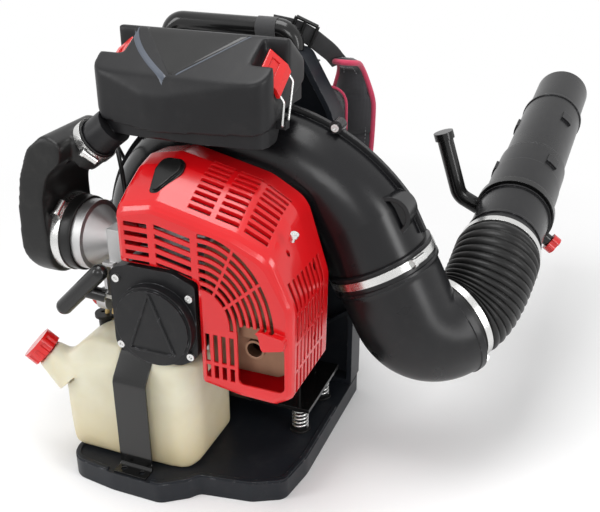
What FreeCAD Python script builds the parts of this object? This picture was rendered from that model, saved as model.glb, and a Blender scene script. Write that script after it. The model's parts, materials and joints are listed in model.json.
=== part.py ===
import FreeCAD, Part
import math
import os

# Backpack leaf blower, millimetres.
# +Z is up, +Y is the wearer's side, -Y is the engine side, +X is the air tube's side.
# The origin is the middle of the base's underside.

V = FreeCAD.Vector
X_AXIS = V(1, 0, 0)
Y_AXIS = V(0, 1, 0)
Z_AXIS = V(0, 0, 1)

# Driving dimensions: the frame that is worn
base_width = 268.0
base_front_y = -158.0
base_back_y = 150.0
base_height = 25.0
base_wall = 4.0
frame_depth = 34.0
frame_rim = 7.0
frame_web = 4.0
frame_top_z = 470.0
handle_radius = 12.0
handle_z = 492.0
handle_left_x = -118.0
handle_right_x = 47.0
finger_gap = 46.0

# Driving dimensions: the crank line, which the starter, the flywheel and the fan share
crank_x = -6.0
crank_z = 226.0
crank_throw = 16.0
bore_radius = 28.0
rod_length = 60.0
shaft_radius = 8.5
crank_pin_radius = 7.0
cylinder_y = -60.0
crankcase_radius = 41.0
crankcase_wall = 5.0
crankcase_front_y = -92.0
crankcase_back_y = -36.0
shaft_fit = 0.03

# Driving dimensions: the fan and its scroll
fan_mid_y = 42.0
fan_half_depth = 50.0
drum_radius = 116.0
case_wall = 3.5
scroll_start_deg = -40.0
scroll_sweep_deg = 293.0
scroll_start_reach = 140.0
scroll_growth = 108.0
scroll_growth_power = 2.5
scroll_start_radius = 30.0
outlet_radius = 59.0
impeller_radius = 104.0
impeller_blades = 14
inlet_radius = 72.0

# Driving dimensions: the air tube
collar_start = 50.0
collar_length = 24.0
elbow_drop = 127.0
elbow_radius = 61.0
elbow_bend = 47.5
elbow_exit = V(0.58, 0.76, 0.30)
spigot_radius = 48.0
bellows_radius = 53.0
bellows_ribs = 13
bellows_depth = 3.0
tube_start = V(303.0, 166.0, 228.0)
tube_direction = V(0.033, 0.975, 0.20)
swivel_radius = 46.5
middle_radius = 42.5
end_radius = 39.0
pipe_wall = 2.2
slide_fit = 0.08
swivel_end = 208.0
middle_start = 160.0
middle_end = 366.0
end_start = 286.0
tip_end = 456.0
handle_ring_at = 100.0

# Driving dimensions: the covers
cover_front_y = -130.0
cover_back_y = -24.0
cover_wall = 2.6
cover_bottom_z = 152.0
cleaner_left_x = -102.0
cleaner_right_x = 98.0
cleaner_front_y = -84.0
cleaner_back_y = 42.0
cleaner_wall = 2.6

# Driving dimensions: the tank
tank_left_x = -150.0
tank_right_x = 24.0
tank_front_y = -136.5
tank_back_y = -12.0
tank_top_z = 169.0
tank_wall = 3.0
strap_width = 42.0
strap_middle_x = -46.0
strap_thick = 2.5

# Clearances
beside = 0.4


# Small helpers for vectors and outlines

def unit(v):
    w = V(v)
    w.normalize()
    return w


def on_xz(y):
    return lambda u, w: V(u, y, w)


def on_yz(x):
    return lambda u, w: V(x, u, w)


def on_xy(z):
    return lambda u, w: V(u, w, z)


def rounded_wire(points, place):
    """A closed outline through (u, v, corner radius) points, with each corner an arc."""
    count = len(points)
    flat = [V(p[0], p[1], 0) for p in points]
    edges = []
    marks = []
    for i in range(count):
        here = flat[i]
        before = unit(flat[i - 1] - here)
        after = unit(flat[(i + 1) % count] - here)
        radius = points[i][2]
        half = before.getAngle(after) / 2
        if radius <= 0 or half > math.radians(89.5):
            marks.append((here, None, here))
            continue
        reach = radius / math.tan(half)
        middle = here + unit(before + after) * (radius / math.sin(half) - radius)
        marks.append((here + before * reach, middle, here + after * reach))
    for i in range(count):
        first, middle, last = marks[i]
        if middle is not None:
            edges.append(Part.Arc(*[place(p.x, p.y) for p in (first, middle, last)]).toShape())
        start = marks[(i + 1) % count][0]
        if (start - last).Length > 1e-6:
            edges.append(Part.LineSegment(place(last.x, last.y), place(start.x, start.y)).toShape())
    return Part.Wire(edges)


def drawn_in(points, inset):
    """The same outline with every side moved inwards; outer corners tighten, inner ones open."""
    count = len(points)
    area = sum(points[i - 1][0] * points[i][1] - points[i][0] * points[i - 1][1] for i in range(count))
    turn = 1.0 if area > 0 else -1.0
    out = []
    for i in range(count):
        u, w, radius = points[i]
        before = unit(V(u - points[i - 1][0], w - points[i - 1][1], 0))
        after = unit(V(points[(i + 1) % count][0] - u, points[(i + 1) % count][1] - w, 0))
        into_before = V(-before.y, before.x, 0) * turn
        into_after = V(-after.y, after.x, 0) * turn
        shift = (into_before + into_after) * (inset / (1 + into_before.dot(into_after)))
        outer_corner = (before.x * after.y - before.y * after.x) * turn > 0
        radius = max(radius - inset, 0.0) if outer_corner else radius + inset
        out.append((u + shift.x, w + shift.y, radius))
    return out


def prism(points, place, push, inset=0.0):
    """The outline of points pushed along a vector, drawn in by an inset when one is given."""
    return Part.Face(rounded_wire(drawn_in(points, inset), place)).extrude(push)


def block(x0, x1, y0, y1, z0, z1):
    return Part.makeBox(x1 - x0, y1 - y0, z1 - z0, V(x0, y0, z0))


def rod(start, direction, radius, length):
    return Part.makeCylinder(radius, length, start, unit(direction))


def sleeve(start, direction, outer, inner, length):
    return rod(start, direction, outer, length).cut(rod(start, direction, inner, length))


def joined(shapes):
    return shapes[0].multiFuse(shapes[1:]).removeSplitter()


def mirrored_x(shape, x=0.0):
    return shape.mirror(V(x, 0, 0), X_AXIS)


def ring_wire(center, radial, side, radius):
    """A circle made of two arcs that always starts at the radial side."""
    a = center + radial * radius
    b = center + side * radius
    c = center - radial * radius
    d = center - side * radius
    return Part.Wire([Part.Arc(a, b, c).toShape(), Part.Arc(c, d, a).toShape()])


def skin(wires, ruled):
    """A loft through the wires, turned right side out."""
    solid = Part.makeLoft(wires, True, ruled)
    if solid.Volume < 0:
        solid.reverse()
    return solid


def bent_path(points, radii):
    """Straight runs through the points, joined by tangent arcs at the inner points."""
    edges = []
    last = points[0]
    for i in range(1, len(points) - 1):
        here = points[i]
        before = unit(points[i - 1] - here)
        after = unit(points[i + 1] - here)
        half = before.getAngle(after) / 2
        reach = radii[i - 1] / math.tan(half)
        start = here + before * reach
        end = here + after * reach
        middle = here + unit(before + after) * (radii[i - 1] / math.sin(half) - radii[i - 1])
        edges.append(Part.LineSegment(last, start).toShape())
        edges.append(Part.Arc(start, middle, end).toShape())
        last = end
    edges.append(Part.LineSegment(last, points[-1]).toShape())
    return Part.Wire(edges)


def swept(path, profile):
    return path.makePipeShell([profile], True, False)


def round_bar(points, radii, radius):
    path = bent_path(points, radii)
    start = path.Edges[0].valueAt(path.Edges[0].FirstParameter)
    heading = path.Edges[0].tangentAt(path.Edges[0].FirstParameter)
    circle = Part.Wire(Part.Circle(start, heading, radius).toShape())
    return swept(path, circle)


def cable_radii(points):
    """Each bend takes 0.45 of its shorter run."""
    radii = []
    for i in range(1, len(points) - 1):
        before = points[i - 1] - points[i]
        after = points[i + 1] - points[i]
        half = before.getAngle(after) / 2
        radii.append(0.45 * min(before.Length, after.Length) * math.tan(half))
    return radii


def half_space(y, front):
    big = 1200.0
    low = -big if front else y
    high = y if front else big
    return block(-big, big, low, high, -big, big)


# Screws: identical pan heads, each with a short shank in a blind hole

screw_head_radius = 4.4
screw_head_height = 3.2
screw_shank_radius = 2.4
screw_shank_length = 7.0
screw_places = []


def screw_hole(shape, seat, outward):
    """Cuts the shank's hole, and notes where the screw goes."""
    screw_places.append((seat, unit(outward)))
    return shape.cut(rod(seat, unit(outward) * -1, screw_shank_radius, screw_shank_length))


def make_screws():
    out = []
    for seat, outward in screw_places:
        head = rod(seat, outward, screw_head_radius, screw_head_height)
        socket = rod(seat + outward * (screw_head_height - 1.6), outward, 2.0, 2.0)
        shank = rod(seat, outward * -1, screw_shank_radius, screw_shank_length)
        out.append(head.cut(socket).fuse(shank).removeSplitter())
    return Part.makeCompound(out + [arm_pivot_bolt()])


# The base and the frame that is worn

half_base = base_width / 2
frame_back_y = base_back_y
frame_front_y = frame_back_y - frame_depth
web_front_y = frame_back_y - 14.0
frame_saddle_z = handle_z - handle_radius - finger_gap


def base_outline():
    front = base_front_y
    return [
        (-half_base, front + 8, 26), (-70, front, 60), (-6, front, 20), (22, front + 20, 14),
        (30, front + 31, 12), (92, front + 41, 22), (half_base - 8, front + 59, 16),
        (half_base, front + 110, 60), (half_base, base_back_y, 8), (-half_base, base_back_y, 8),
    ]


def make_base_plate():
    body = prism(base_outline(), on_xy(0), V(0, 0, base_height))
    rim = prism(base_outline(), on_xy(base_height), V(0, 0, 2.5), 1.2)
    rim = rim.cut(prism(base_outline(), on_xy(base_height), V(0, 0, 3), 6.0))
    rim = rim.cut(block(-half_base, half_base, 60, base_back_y + 1, base_height, base_height + 4))
    rim = rim.cut(block(-76, -18, base_front_y - 5, -120, base_height, base_height + 4))
    body = body.fuse(rim)
    pad = 34.0
    columns = 6
    rows = 7
    pitch_x = (base_width - 2 * base_wall) / columns
    pitch_y = (base_back_y - base_front_y - 2 * base_wall) / rows
    roof = base_height - 4.0
    core = prism(base_outline(), on_xy(-1), V(0, 0, roof + 1), base_wall)
    core = core.cut(block(-pad, pad, -pad, pad, -1, roof))
    for i in range(1, columns):
        x = -half_base + base_wall + i * pitch_x
        core = core.cut(block(x - 1.5, x + 1.5, base_front_y, base_back_y, -1, roof))
    for j in range(1, rows):
        y = base_front_y + base_wall + j * pitch_y
        core = core.cut(block(-half_base, half_base, y - 1.5, y + 1.5, -1, roof))
    body = body.cut(core)
    return body.removeSplitter()


def frame_outline():
    saddle = frame_saddle_z
    return [
        (-half_base, base_height, 3), (-half_base, frame_top_z, 17),
        (handle_left_x + 12, frame_top_z, 8), (handle_left_x + 24, saddle, 14),
        (handle_right_x - 24, saddle, 14), (handle_right_x - 12, frame_top_z, 8),
        (handle_right_x + 14, frame_top_z, 16), (100, 402, 60), (124, 315, 80),
        (half_base, 190, 80), (half_base, base_height, 3),
    ]


def make_back_frame():
    outline = frame_outline()
    outer = prism(outline, on_xz(frame_front_y), V(0, frame_depth, 0))
    hollow = prism(outline, on_xz(frame_front_y - 1), V(0, frame_depth + 2, 0), frame_rim)
    rim = outer.cut(hollow)
    web = prism(outline, on_xz(web_front_y), V(0, frame_web, 0), frame_rim - 1)
    ribs = []
    for side in (-1, 1):
        for k in range(4):
            z = 60 + 62 * k
            rib = block(0, 190, frame_front_y + 6, web_front_y + 1, -2, 2)
            rib.rotate(V(0, 0, 0), Y_AXIS, -38 if side > 0 else 218)
            rib.translate(V(side * 30, 0, z))
            ribs.append(rib.common(outer))
    body = joined([rim, web] + ribs)
    keep_out = rod(V(crank_x, frame_front_y - 1, crank_z), Y_AXIS, drum_radius + 4, 12)
    body = body.cut(keep_out)
    inlet = rod(V(crank_x, frame_front_y - 1, crank_z), Y_AXIS, inlet_radius + 6, frame_depth + 2)
    body = body.cut(inlet)
    for x in (handle_left_x, handle_right_x):
        body = body.cut(rod(V(x, handle_y, frame_top_z - 26), Z_AXIS, handle_radius - 3, 30))
    for place in rubber_places():
        body = body.cut(rod(V(place.x, frame_front_y - 1, place.z), Y_AXIS, rubber_radius + beside,
                            web_front_y - frame_front_y + 1))
    body = body.cut(rod(arm_pivot - X_AXIS * 20, X_AXIS, arm_bolt, 40))
    return body.removeSplitter()


handle_y = frame_front_y + 14.0


def make_carry_handle():
    left = V(handle_left_x, handle_y, frame_top_z)
    right = V(handle_right_x, handle_y, frame_top_z)
    lift = V(0, 0, handle_z - frame_top_z)
    bar = round_bar([left, left + lift, right + lift, right], [20.0, 20.0], handle_radius)
    tongue_length = 24.0
    tongues = [rod(p - Z_AXIS * tongue_length, Z_AXIS, handle_radius - 3.2, tongue_length + 1)
               for p in (left, right)]
    return joined([bar] + tongues)


# The soft parts against the wearer

pad_half_width = 104.0
pad_thick = 22.0
pad_front_y = base_back_y + beside
shoulder_x = 97.0
shoulder_width = 60.0
shoulder_thick = 13.0


def make_back_pad(z0, z1):
    outline = [(-pad_half_width, z0, 26), (pad_half_width, z0, 26),
               (pad_half_width, z1, 26), (-pad_half_width, z1, 26)]
    return prism(outline, on_xz(pad_front_y), V(0, pad_thick, 0))


def shoulder_path():
    points = [V(0, 158, 452), V(0, 196, 444), V(0, 214, 350), V(0, 206, 178)]
    return bent_path(points, [22.0, 60.0])


def shoulder_pad(x):
    profile = rounded_wire([(x - shoulder_width / 2, -shoulder_thick / 2, 4),
                            (x + shoulder_width / 2, -shoulder_thick / 2, 4),
                            (x + shoulder_width / 2, shoulder_thick / 2, 4),
                            (x - shoulder_width / 2, shoulder_thick / 2, 4)],
                           lambda u, w: V(u, 158, 452 + w))
    return swept(shoulder_path(), profile)


def make_shoulder_pads():
    return Part.makeCompound([shoulder_pad(-shoulder_x), shoulder_pad(shoulder_x)])


def web_ribbon(points, radii, x, width, thick):
    path = bent_path(points, radii)
    heading = unit(points[1] - points[0])
    across = unit(X_AXIS.cross(heading))
    start = points[0]
    place = lambda u, w: start + X_AXIS * (x + u) + across * w
    profile = rounded_wire([(-width / 2, -thick / 2, 0), (width / 2, -thick / 2, 0),
                            (width / 2, thick / 2, 0), (-width / 2, thick / 2, 0)], place)
    return swept(path, profile)


def make_strap_webbing():
    """Lower webs from each pad to the base of the frame, and upper webs to its top."""
    out = []
    for x in (-shoulder_x, shoulder_x):
        low = [V(0, 206.5, 176), V(0, 204, 96), V(0, 178, 46), V(0, base_back_y + 0.2, 46)]
        out.append(web_ribbon(low, [60.0, 12.0], x, 25.0, 2.4))
    for x in (-shoulder_x + 22, shoulder_x - 40):
        high = [V(0, 157.5, 452), V(0, 152.5, 452), V(0, 151.5, 420)]
        out.append(web_ribbon(high, [1.5], x, 25.0, 2.0))
    return Part.makeCompound(out)


def ladder_buckle(center, along, out_of):
    """A ladder lock: a frame of two rails and four rungs, the web runs between the rungs."""
    across = X_AXIS
    def bar(offset_along, offset_across, length_along, length_across):
        a = center + along * offset_along + across * offset_across - out_of * 2.5
        base = Part.makePolygon([
            a - along * length_along / 2 - across * length_across / 2,
            a + along * length_along / 2 - across * length_across / 2,
            a + along * length_along / 2 + across * length_across / 2,
            a - along * length_along / 2 + across * length_across / 2,
            a - along * length_along / 2 - across * length_across / 2])
        return Part.Face(base).extrude(out_of * 5.0)
    rails = [bar(0, s * 15.6, 30, 3.6) for s in (-1, 1)]
    rungs = [bar(t, 0, 3.4, 34) for t in (-13.2, 13.2)]
    return joined(rails + rungs)


def make_strap_buckles():
    out = []
    for x in (-shoulder_x, shoulder_x):
        along = unit(V(0, 206.5 - 200, 176 - 96))
        center = V(x, 207.0, 176) - along * 18
        out.append(ladder_buckle(center + V(0, 6.2, 0), along, unit(X_AXIS.cross(along)) * -1))
    return Part.makeCompound(out)


# What carries the engine: springs and cups under it, rubber blocks behind it

spring_radius = 9.0
spring_wire = 1.6
spring_turns = 5
spring_height = 30.0
spring_places = [V(105, 3, 0), V(-105, 3, 0), V(105, 78, 0), V(-105, 78, 0)]
cup_height = 3.0
cradle_z0 = base_height + 2 * cup_height + spring_height
cradle_thick = 5.0
rubber_radius = 12.0


def make_isolator_springs():
    out = []
    low = base_height + cup_height + spring_wire
    rise = spring_height - 2 * spring_wire
    for place in spring_places:
        helix = Part.makeHelix(rise / spring_turns, rise, spring_radius)
        start = V(spring_radius, 0, 0)
        circle = Part.Wire(Part.Circle(start, Y_AXIS, spring_wire - 0.05).toShape())
        coil = Part.Wire(helix).makePipeShell([circle], True, True)
        coil.translate(V(place.x, place.y, low))
        out.append(coil)
    return Part.makeCompound(out)


def spring_cups():
    """A seat above and below each spring, with a peg inside the coil."""
    out = []
    peg = spring_radius - spring_wire - 1.0
    for place in spring_places:
        for z, up in ((base_height, 1), (cradle_z0, -1)):
            seat = V(place.x, place.y, z)
            disc = rod(seat, Z_AXIS * up, spring_radius + 4, cup_height)
            disc = disc.fuse(rod(seat, Z_AXIS * up, peg, cup_height + 9))
            out.append(disc.removeSplitter())
    return out


def make_engine_cradle():
    """The plate on the springs, with two saddles that hold the fan case from below."""
    y0 = tank_back_y + beside
    y1 = 98.0
    plate = block(-122, 122, y0, y1, cradle_z0, cradle_z0 + cradle_thick)
    ribs = [block(-100, 100, y, y + 5, cradle_z0, cradle_z0 + 52) for y in (12.0, 66.0)]
    body = joined([plate] + ribs)
    return body.cut([scroll_half(0, -1), scroll_half(0, 1)]).removeSplitter()


def rubber_places():
    angles = [45, 135, 225, 315]
    reach = drum_radius - 18.0
    return [V(crank_x + reach * math.cos(math.radians(a)), fan_mid_y + fan_half_depth,
              crank_z + reach * math.sin(math.radians(a))) for a in angles]


def make_rubber_mounts():
    out = []
    length = web_front_y - (fan_mid_y + fan_half_depth)
    for place in rubber_places():
        body = rod(place, Y_AXIS, rubber_radius, length)
        for k in range(4):
            body = body.cut(sleeve(place + Y_AXIS * (6 + 9 * k), Y_AXIS, rubber_radius + 1,
                                   rubber_radius - 2, 3))
        out.append(body)
    return Part.makeCompound(out + spring_cups())


# The fan case: a drum, a scroll that grows round it, and a straight outlet

def scroll_reach(swept_deg):
    part = swept_deg / scroll_sweep_deg
    return scroll_start_reach + scroll_growth * part ** scroll_growth_power


def scroll_radius(swept_deg):
    part = swept_deg / scroll_sweep_deg
    return scroll_start_radius + (outlet_radius - scroll_start_radius) * part ** 1.5


def scroll_section(swept_deg, thinner, side):
    """Half of the scroll's round section, on one side of the plane through the fan's middle."""
    angle = math.radians(scroll_start_deg - swept_deg)
    radial = V(math.cos(angle), 0, math.sin(angle))
    radius = scroll_radius(swept_deg)
    center = V(crank_x, fan_mid_y, crank_z) + radial * (scroll_reach(swept_deg) - radius)
    reach = radius - thinner
    far = center + radial * reach
    near = center - radial * reach
    return Part.Wire([Part.Arc(far, center + Y_AXIS * (side * reach), near).toShape(),
                      Part.LineSegment(near, far).toShape()])


outlet_angle = math.radians(scroll_start_deg - scroll_sweep_deg)
outlet_out = V(math.cos(outlet_angle), 0, math.sin(outlet_angle))
outlet_axis = V(math.sin(outlet_angle), 0, -math.cos(outlet_angle))
outlet_start = V(crank_x, fan_mid_y, crank_z) + outlet_out * (scroll_reach(scroll_sweep_deg) - outlet_radius)


def scroll_half(thinner, side):
    """Half of drum, scroll and outlet as one solid, drawn in by the wall for the hollow."""
    arcs = 6
    steps = 2
    pieces = []
    for arc in range(arcs):
        turns = [scroll_sweep_deg * (arc + k / steps) / arcs for k in range(steps + 1)]
        pieces.append(skin([scroll_section(turn, thinner, side) for turn in turns], False))
    depth = fan_half_depth - thinner
    pieces.append(rod(V(crank_x, fan_mid_y, crank_z), Y_AXIS * side, drum_radius - thinner, depth))
    tail_length = collar_start + collar_length + (2.0 if thinner else 0.0)
    tail = rod(outlet_start, outlet_axis, outlet_radius - thinner, tail_length)
    pieces.append(tail.common(half_space(fan_mid_y, side < 0)))
    return pieces[0].fuse(pieces[1:])


def flange_plate(side):
    """The lip where the two halves of the case meet, following the scroll's outside."""
    lip = 6.0
    y = fan_mid_y
    points = []
    for k in range(25):
        swept_deg = scroll_sweep_deg * k / 24
        angle = math.radians(scroll_start_deg - swept_deg)
        reach = scroll_reach(swept_deg) + lip
        points.append(V(crank_x + reach * math.cos(angle), y, crank_z + reach * math.sin(angle)))
    curve = Part.BSplineCurve()
    curve.interpolate(points)
    far = outlet_start + outlet_out * (outlet_radius + lip) + outlet_axis * (collar_start - 8)
    near = outlet_start - outlet_out * (outlet_radius + lip) + outlet_axis * (collar_start - 8)
    heel = V(crank_x + drum_radius + lip, y, crank_z - 20)
    edges = [curve.toShape(), Part.LineSegment(points[-1], far).toShape(),
             Part.LineSegment(far, near).toShape(), Part.LineSegment(near, heel).toShape(),
             Part.LineSegment(heel, points[0]).toShape()]
    return Part.Face(Part.Wire(edges)).extrude(V(0, 3.0 * side, 0))


flange_screw_angles = [53, 88, 125, 165, 205, 245, 285, 318]


def flange_boss(angle_deg, side):
    """A lug on one half's lip."""
    swept_deg = (scroll_start_deg - angle_deg) % 360
    angle = math.radians(angle_deg)
    reach = scroll_reach(swept_deg) + 7.0
    center = V(crank_x + reach * math.cos(angle), fan_mid_y, crank_z + reach * math.sin(angle))
    return rod(center, Y_AXIS * side, 7.5, boss_depth), center + Y_AXIS * (side * boss_depth)


boss_depth = 8.0


def outlet_lug():
    """The round lug on the engine side of the outlet's outer edge."""
    center = outlet_start + outlet_out * (outlet_radius - 14) + outlet_axis * 6
    disc = rod(center, Y_AXIS * -1, 23, 26)
    rim = sleeve(center - Y_AXIS * 25, Y_AXIS * -1, 23, 18, 6)
    return disc.fuse(rim)


def fan_case_half(side, extras):
    """One half of the case: drum, scroll and outlet with the lip and its lugs, made hollow."""
    lugs = [flange_boss(angle, side)[0] for angle in flange_screw_angles]
    solid = scroll_half(0, side).fuse([flange_plate(side)] + lugs + extras)
    return solid.cut(scroll_half(case_wall, side))


def make_fan_case_front():
    front = fan_case_half(-1, [outlet_lug()])
    shaft_way = rod(V(crank_x, fan_mid_y - fan_half_depth - 2, crank_z), Y_AXIS, shaft_radius + 3, 10)
    front = front.cut(shaft_way)
    for angle in flange_screw_angles:
        front = screw_hole(front, flange_boss(angle, -1)[1], Y_AXIS * -1)
    for place in post_places():
        front = front.fuse(rod(place, Y_AXIS, post_radius, fan_mid_y - fan_half_depth - place.y + 1))
    return front.removeSplitter()


def make_fan_case_back():
    back = fan_case_half(1, [])
    inlet = rod(V(crank_x, fan_mid_y + fan_half_depth - 8, crank_z), Y_AXIS, inlet_radius, 12)
    back = back.cut(inlet)
    bell = sleeve(V(crank_x, fan_mid_y + fan_half_depth - 10, crank_z), Y_AXIS,
                  inlet_radius + 3, inlet_radius, 10)
    return back.fuse([bell, inlet_grille()]).removeSplitter()


post_radius = 6.0


def post_places():
    """The four posts between the crankcase's plate and the fan case, outside the flywheel."""
    reach = 62.0
    return [V(crank_x + reach * math.cos(math.radians(a)), crankcase_back_y + 4,
              crank_z + reach * math.sin(math.radians(a))) for a in (30, 150, 230, 310)]


def inlet_grille():
    """A round guard over the fan's air inlet."""
    center = V(crank_x, fan_mid_y + fan_half_depth + 0.0, crank_z)
    depth = 4.0
    rings = [sleeve(center, Y_AXIS, r, r - 3, depth) for r in (inlet_radius + 5, 60, 46, 32)]
    hub = rod(center, Y_AXIS, 18, depth)
    spokes = []
    for k in range(8):
        spoke = block(0, inlet_radius + 3, 0, depth, -1.5, 1.5)
        spoke.rotate(V(0, 0, 0), Y_AXIS, 45 * k)
        spoke.translate(center)
        spokes.append(spoke)
    return joined([hub] + rings + spokes)


# The rotor: crankshaft, flywheel and fan

flywheel_y0 = -27.5
flywheel_y1 = -14.0
flywheel_radius = 48.0
impeller_y0 = fan_mid_y - fan_half_depth + case_wall + 4.0
impeller_depth = 76.0


def make_crankshaft():
    """Two journals, two webs and the pin between them; the pin stands at the top."""
    pin_z = crank_z + crank_throw
    web_inner = 7.6
    web_thick = 5.8
    front_end = pulley_y1 + 6.0
    back_end = impeller_y0 + impeller_depth - 6.0
    pieces = [rod(V(crank_x, front_end, crank_z), Y_AXIS, shaft_radius,
                  cylinder_y - web_inner - front_end),
              rod(V(crank_x, cylinder_y + web_inner, crank_z), Y_AXIS, shaft_radius,
                  back_end - cylinder_y - web_inner),
              rod(V(crank_x, cylinder_y - web_inner - 4, pin_z), Y_AXIS, crank_pin_radius,
                  2 * web_inner + 8)]
    for y in (cylinder_y - web_inner - web_thick, cylinder_y + web_inner):
        disc = rod(V(crank_x, y, crank_z), Y_AXIS, 32.0, web_thick)
        waist = block(crank_x - 40, crank_x - 15, y - 1, y + web_thick + 1, crank_z + 2, crank_z + 40)
        disc = disc.cut(waist)
        disc = disc.cut(mirrored_x(waist, crank_x))
        pieces.append(disc)
    return joined(pieces)


def make_flywheel():
    center = V(crank_x, flywheel_y0, crank_z)
    depth = flywheel_y1 - flywheel_y0
    body = rod(center, Y_AXIS, flywheel_radius, depth)
    body = body.cut(sleeve(center + Y_AXIS * 5, Y_AXIS, flywheel_radius - 9, 18, depth))
    magnet = block(crank_x - 8, crank_x + 8, flywheel_y0 + 2, flywheel_y1 - 2,
                   crank_z + flywheel_radius - 4, crank_z + flywheel_radius + 1)
    body = body.fuse(magnet)
    return body.cut(rod(center - Y_AXIS, Y_AXIS, shaft_radius, depth + 2)).removeSplitter()


def make_fan_impeller():
    """A backplate and curved blades on a hub, all turning with the crankshaft."""
    center = V(crank_x, impeller_y0, crank_z)
    plate = rod(center, Y_AXIS, impeller_radius, 4)
    hub = rod(center, Y_AXIS, 20, impeller_depth - 10)
    blades = []
    inner = 44.0
    for k in range(impeller_blades):
        start = V(inner, 0, 0)
        middle = V((inner + impeller_radius) / 2, 0, 9)
        end = V(impeller_radius - 1, 0, 0)
        arc = Part.Arc(start, middle, end).toShape()
        face = arc.extrude(V(0, impeller_depth - 4, 0))
        blade = face.extrude(V(0, 0, 2.4))
        blade.rotate(V(0, 0, 0), Y_AXIS, 360.0 * k / impeller_blades)
        blade.translate(center + Y_AXIS * 3.5)
        blades.append(blade)
    ring = sleeve(center + Y_AXIS * (impeller_depth - 2), Y_AXIS, impeller_radius, 80, 3)
    spider = [hub, plate] + blades + [ring]
    body = spider[0].multiFuse(spider[1:])
    return body.cut(rod(center - Y_AXIS, Y_AXIS, shaft_radius, impeller_depth + 4)).removeSplitter()


# The engine block

head_z = crank_z + crank_throw + rod_length + 21.0
barrel_z0 = crank_z + 36.0
fin_half = 40.0
fin_front_y = cylinder_y - 30.0
fin_back_y = cylinder_y + 22.0
fin_pitch = 8.0
fin_thick = 2.6
plug_axis = V(0, -0.5, 0.866)
plug_seat = V(crank_x, cylinder_y - 6, head_z + 8) + plug_axis * 6


def make_crankcase():
    center = V(crank_x, crankcase_front_y, crank_z)
    depth = crankcase_back_y - crankcase_front_y
    outer = rod(center, Y_AXIS, crankcase_radius, depth)
    neck = block(crank_x - 36, crank_x + 36, cylinder_y - 28, cylinder_y + 24, crank_z, barrel_z0)
    front_plate = prism([(crank_x - 50, crank_z - 48, 14), (crank_x + 46, crank_z - 48, 14),
                         (crank_x + 46, crank_z + 35, 14), (crank_x - 50, crank_z + 35, 14)],
                        on_xz(crankcase_front_y), V(0, 4, 0))
    back_plate = rod(V(crank_x, crankcase_back_y, crank_z), Y_AXIS, 44, 4)
    above_neck = block(crank_x - 60, crank_x + 60, crankcase_front_y - 1, crankcase_back_y + 5, barrel_z0, 300)
    outer = outer.cut(above_neck)
    back_plate = back_plate.cut(above_neck)
    arms = []
    for place in post_places():
        arm = block(-8, 62, 0, 4, -8, 8)
        angle = math.degrees(math.atan2(place.z - crank_z, place.x - crank_x))
        arm.rotate(V(0, 0, 0), Y_AXIS, -angle)
        arm.translate(V(crank_x, crankcase_back_y, crank_z))
        arms.append(arm)
        arms.append(rod(place - Y_AXIS * 4, Y_AXIS, 9.5, 4))
    body = joined([outer, neck, front_plate, back_plate] + arms)
    chamber = rod(V(crank_x, crankcase_front_y + 14, crank_z), Y_AXIS,
                  crankcase_radius - crankcase_wall, depth - 24)
    throat = rod(V(crank_x, cylinder_y, crank_z), Z_AXIS, bore_radius, 60)
    throat = throat.common(block(crank_x - 40, crank_x + 40, cylinder_y - 26, crankcase_back_y - 2, crank_z, 300))
    body = body.cut(chamber.fuse(throat))
    for y0, y1 in bearing_spans():
        body = body.cut(rod(V(crank_x, y0, crank_z), Y_AXIS, bearing_radius, y1 - y0))
    body = body.cut(rod(V(crank_x, crankcase_front_y - 1, crank_z), Y_AXIS, shaft_radius + 1, depth + 8))
    return body.removeSplitter()


bearing_radius = 17.0
bearing_depth = 9.0


def bearing_spans():
    return [(crankcase_front_y + 14 - bearing_depth, crankcase_front_y + 14),
            (crankcase_back_y - 10, crankcase_back_y - 10 + bearing_depth)]


def make_main_bearings():
    out = []
    for y0, y1 in bearing_spans():
        body = sleeve(V(crank_x, y0, crank_z), Y_AXIS, bearing_radius, shaft_radius + shaft_fit, y1 - y0)
        body = body.cut(sleeve(V(crank_x, y0 - 0.5, crank_z), Y_AXIS, 14.2, 11.6, 1.5))
        out.append(body)
    return Part.makeCompound(out)


def make_cylinder():
    """The barrel with square cooling fins, the head, and ports to each side."""
    outer = rod(V(crank_x, cylinder_y, barrel_z0), Z_AXIS, bore_radius + 3.2, head_z + 8 - barrel_z0)
    count = int((head_z + 8 - barrel_z0) / fin_pitch)
    fins = []
    for k in range(count):
        z = barrel_z0 + 6 + k * fin_pitch
        fins.append(block(crank_x - fin_half, crank_x + fin_half, fin_front_y, fin_back_y,
                          z, z + fin_thick))
    flange = block(crank_x - 36, crank_x + 36, cylinder_y - 28, cylinder_y + 24, barrel_z0, barrel_z0 + 5)
    port_in = rod(V(crank_x - fin_half - 4, cylinder_y, carburetor_z), X_AXIS, 14.5, 20)
    port_out = rod(V(crank_x + 24, cylinder_y, exhaust_z), X_AXIS, 17, fin_half + 4 - 24)
    boss = rod(plug_seat - plug_axis * 18, plug_axis, 12, 18)
    body = outer.multiFuse([flange, port_in, port_out, boss] + fins)
    body = body.cut(rod(V(crank_x, cylinder_y, barrel_z0 - 1), Z_AXIS, bore_radius, head_z - barrel_z0 + 1))
    body = body.cut(rod(V(crank_x - fin_half - 6, cylinder_y, carburetor_z), X_AXIS, 10, 30))
    body = body.cut(rod(V(crank_x + 20, cylinder_y, exhaust_z), X_AXIS, 11, 40))
    body = body.cut(rod(plug_seat - plug_axis * 30, plug_axis, 5.0, 40))
    return body.removeSplitter()


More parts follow.
